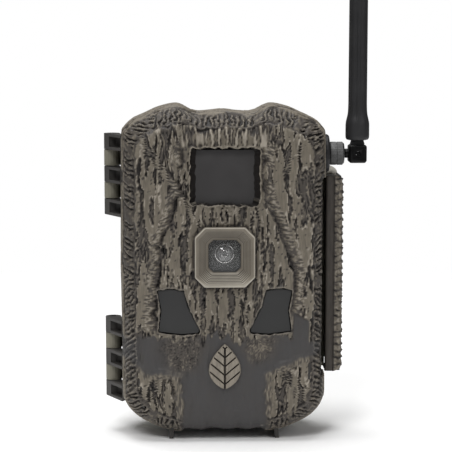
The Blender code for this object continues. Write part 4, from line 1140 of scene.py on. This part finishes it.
# Near-black for the walls inside the window, motion-sensor and lens openings: painted shade in these deep
# openings, over the cover's own dark plastic.
REVEAL_SHADE = moulded_look("reveal_shade_black", (0.001, 0.001, 0.001), 0.2, (0.7, 0.8), Specular_IOR_Level=0.05)
# A much lighter copy of the olive tan plastic for the ear over the latch: a painted highlight where light
# falls on it.
LIT_DOME = moulded_look("lit_dome", (0.50, 0.475, 0.42), 0.1)
PANE_GLASS = moulded_look("pane_glass", (0.30, 0.30, 0.30), 0.05, (0.04, 0.06), 300.0, 0.0, Alpha=0.12)
SENSOR_PLASTIC = moulded_look("sensor_plastic", (0.028, 0.028, 0.028), 0.08, (0.35, 0.45), 600.0, 0.0)
BEZEL_TAN = shade_painted_look("bezel_tan", (0.055, 0.048, 0.038), (0.185, 0.162, 0.128), (0.42, 0.39, 0.33))
POLISHED = metal_look("polished_steel", (0.75, 0.75, 0.74), (0.12, 0.22))
BAFFLE_GREY = shade_painted_look("grey_baffle", (0.004, 0.004, 0.004), (0.040, 0.041, 0.037),
                           (0.090, 0.094, 0.094))
OPENINGS_FRONT, OPENINGS_SIDE = -64.0, 40.0    # the cover's openings lie before and within these
DOME_FOOT, DOME_SIDE, DOME_BACK = 48.0, 52.3, -26.0    # the ear over the latch, seen by its corner


# ---------------- pieces
def painted(piece, *looks):
    piece.data.materials.clear()
    for look in looks:
        piece.data.materials.append(look)


def dress_nodes():
    """Every CAD node that stays takes the finish of its slot, which names its packed material."""
    for node in NODES.values():
        painted(node, LOOKS[node.data.materials[0].name.split(".")[0]])
    painted(NODES["lens_window"], PANE_GLASS)
    painted(NODES["antenna_pivot_pin"], LOOKS["elbow_plastic"])
    painted(NODES["pir_window_left"], SENSOR_PLASTIC)
    painted(NODES["pir_window_right"], SENSOR_PLASTIC)


def wear(piece, body, slot, *nodes, looks=()):
    """Puts a piece on its body, in place of the nodes named, with its slot's look unless told."""
    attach(piece, body)
    if nodes:
        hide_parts(*nodes)
    painted(piece, *(looks or (LOOKS[slot],)))
    return piece


dress_nodes()
wear(cover_skin(), "cover", "bark_plastic", "front_cover", looks=(BARK, REVEAL_SHADE))
shell = wear(shrunk("front_cover", "cover_shell", under_skin), "cover", "bark_plastic", "front_cover",
             looks=(DARK_BARK, REVEAL_SHADE))
# The shell's walls round the front openings take the near-black look: painted shade in the openings.
repaint(shell, 1, lambda x, y, z: y < OPENINGS_FRONT and abs(x) < OPENINGS_SIDE)
rear = wear(smoothed("rear_case", "rear_shell"), "rear", "tan_plastic", "rear_case",
            looks=(LOOKS["tan_plastic"], LIT_DOME))
# The ear's faces over the latch take the lighter copy: a painted highlight.
repaint(rear, 1, lambda x, y, z: z > DOME_FOOT and x > DOME_SIDE and y < DOME_BACK)
for number in range(1, 9):
    cell = "battery_cell_%d" % number
    wear(smoothed(cell, "cell_%d" % number), "rear", "cell_wrap", cell)
wear(lever_skin(), "latch", "bark_plastic", "latch_lever")
wear(shrunk("latch_lever", "latch_core", lever_core), "latch", "bark_plastic", "latch_lever",
     looks=(DARK_BARK,))
wear(knurled_nut(), "antenna_nut", "nut_metal", "antenna_nut")
wear(softened("antenna_elbow", "elbow_body", 0.5), "antenna_elbow", "elbow_plastic", "antenna_elbow")
wear(whip_sleeve(), "antenna_whip", "antenna_plastic", "antenna_whip")
wear(shrunk("antenna_whip", "whip_tab", whip_core), "antenna_whip", "antenna_plastic", "antenna_whip")
wear(stepped_bezel(), "cover", "tan_plastic", "lens_bezel", looks=(BEZEL_TAN,))
for ring in LENS_RINGS:
    wear(lens_ring(*ring), "cover", "steel", looks=(POLISHED,))
wear(lens_baffle(), "cover", "black_plastic", looks=(BAFFLE_GREY,))
wear(leaf_emblem(), "cover", "tan_plastic", "leaf_badge", looks=(BARK,))


# ---------------- stage
FLOOR_Z = -86.7                         # just under the feet
FLOOR_RADIUS = 560.0


def stage():
    """A pale round table top that runs out into a white backdrop."""
    turns = np.linspace(0, 2 * math.pi, 96, endpoint=False)
    rim = [(FLOOR_RADIUS * math.cos(t), FLOOR_RADIUS * math.sin(t), FLOOR_Z) for t in turns]
    floor = mesh_object("floor", rim, [tuple(range(len(rim)))])
    made, _, shader = new_look("pale_floor", Roughness=0.95)
    shader.inputs["Base Color"].default_value = (1.0, 1.0, 1.0, 1.0)
    shader.inputs["Specular IOR Level"].default_value = 0.1
    floor.data.materials.append(made)


def softbox(name, place, target, size, power):
    light = bpy.data.lights.new(name, "AREA")
    light.shape = "RECTANGLE"
    light.size, light.size_y = size
    light.energy = power
    lamp = bpy.data.objects.new(name, light)
    lamp.location = place
    lamp.rotation_euler = (Vector(target) - Vector(place)).to_track_quat("-Z", "Y").to_euler()
    bpy.context.scene.collection.objects.link(lamp)


def world(strength):
    made = bpy.data.worlds.new("studio")
    made.use_nodes = True
    tree = made.node_tree
    seen = add(tree, "LightPath").outputs["Is Camera Ray"]
    tree.links.new(span(tree, seen, 0.0, 1.0, strength, 1.0), tree.nodes["Background"].inputs["Strength"])
    tree.nodes["Background"].inputs["Color"].default_value = (1, 1, 1, 1)
    bpy.context.scene.world = made


def camera():
    data = bpy.data.cameras.new("camera")
    data.lens, data.sensor_width = 137.2, 36.0
    data.shift_x, data.shift_y = 0.0075, 0.088
    made = bpy.data.objects.new("camera", data)
    made.location = (-0.0311, -0.9287, 0.1253)
    aim = Vector((0.0, -0.038, 0.0))
    made.rotation_euler = (aim - made.location).to_track_quat("-Z", "Y").to_euler()
    bpy.context.scene.collection.objects.link(made)
    bpy.context.scene.camera = made


stage()
world(0.16)
softbox("key", (-0.45, -1.2, 1.25), (0, -0.05, 0.02), (0.6, 0.5), 13.0)
softbox("fill", (0.9, -1.1, 0.6), (0, -0.05, 0.0), (0.8, 0.8), 3.0)
softbox("top", (-0.15, 0.05, 1.7), (0, 0.0, -0.1), (1.3, 1.3), 30.0)
camera()
bpy.context.scene.view_settings.view_transform = "Standard"
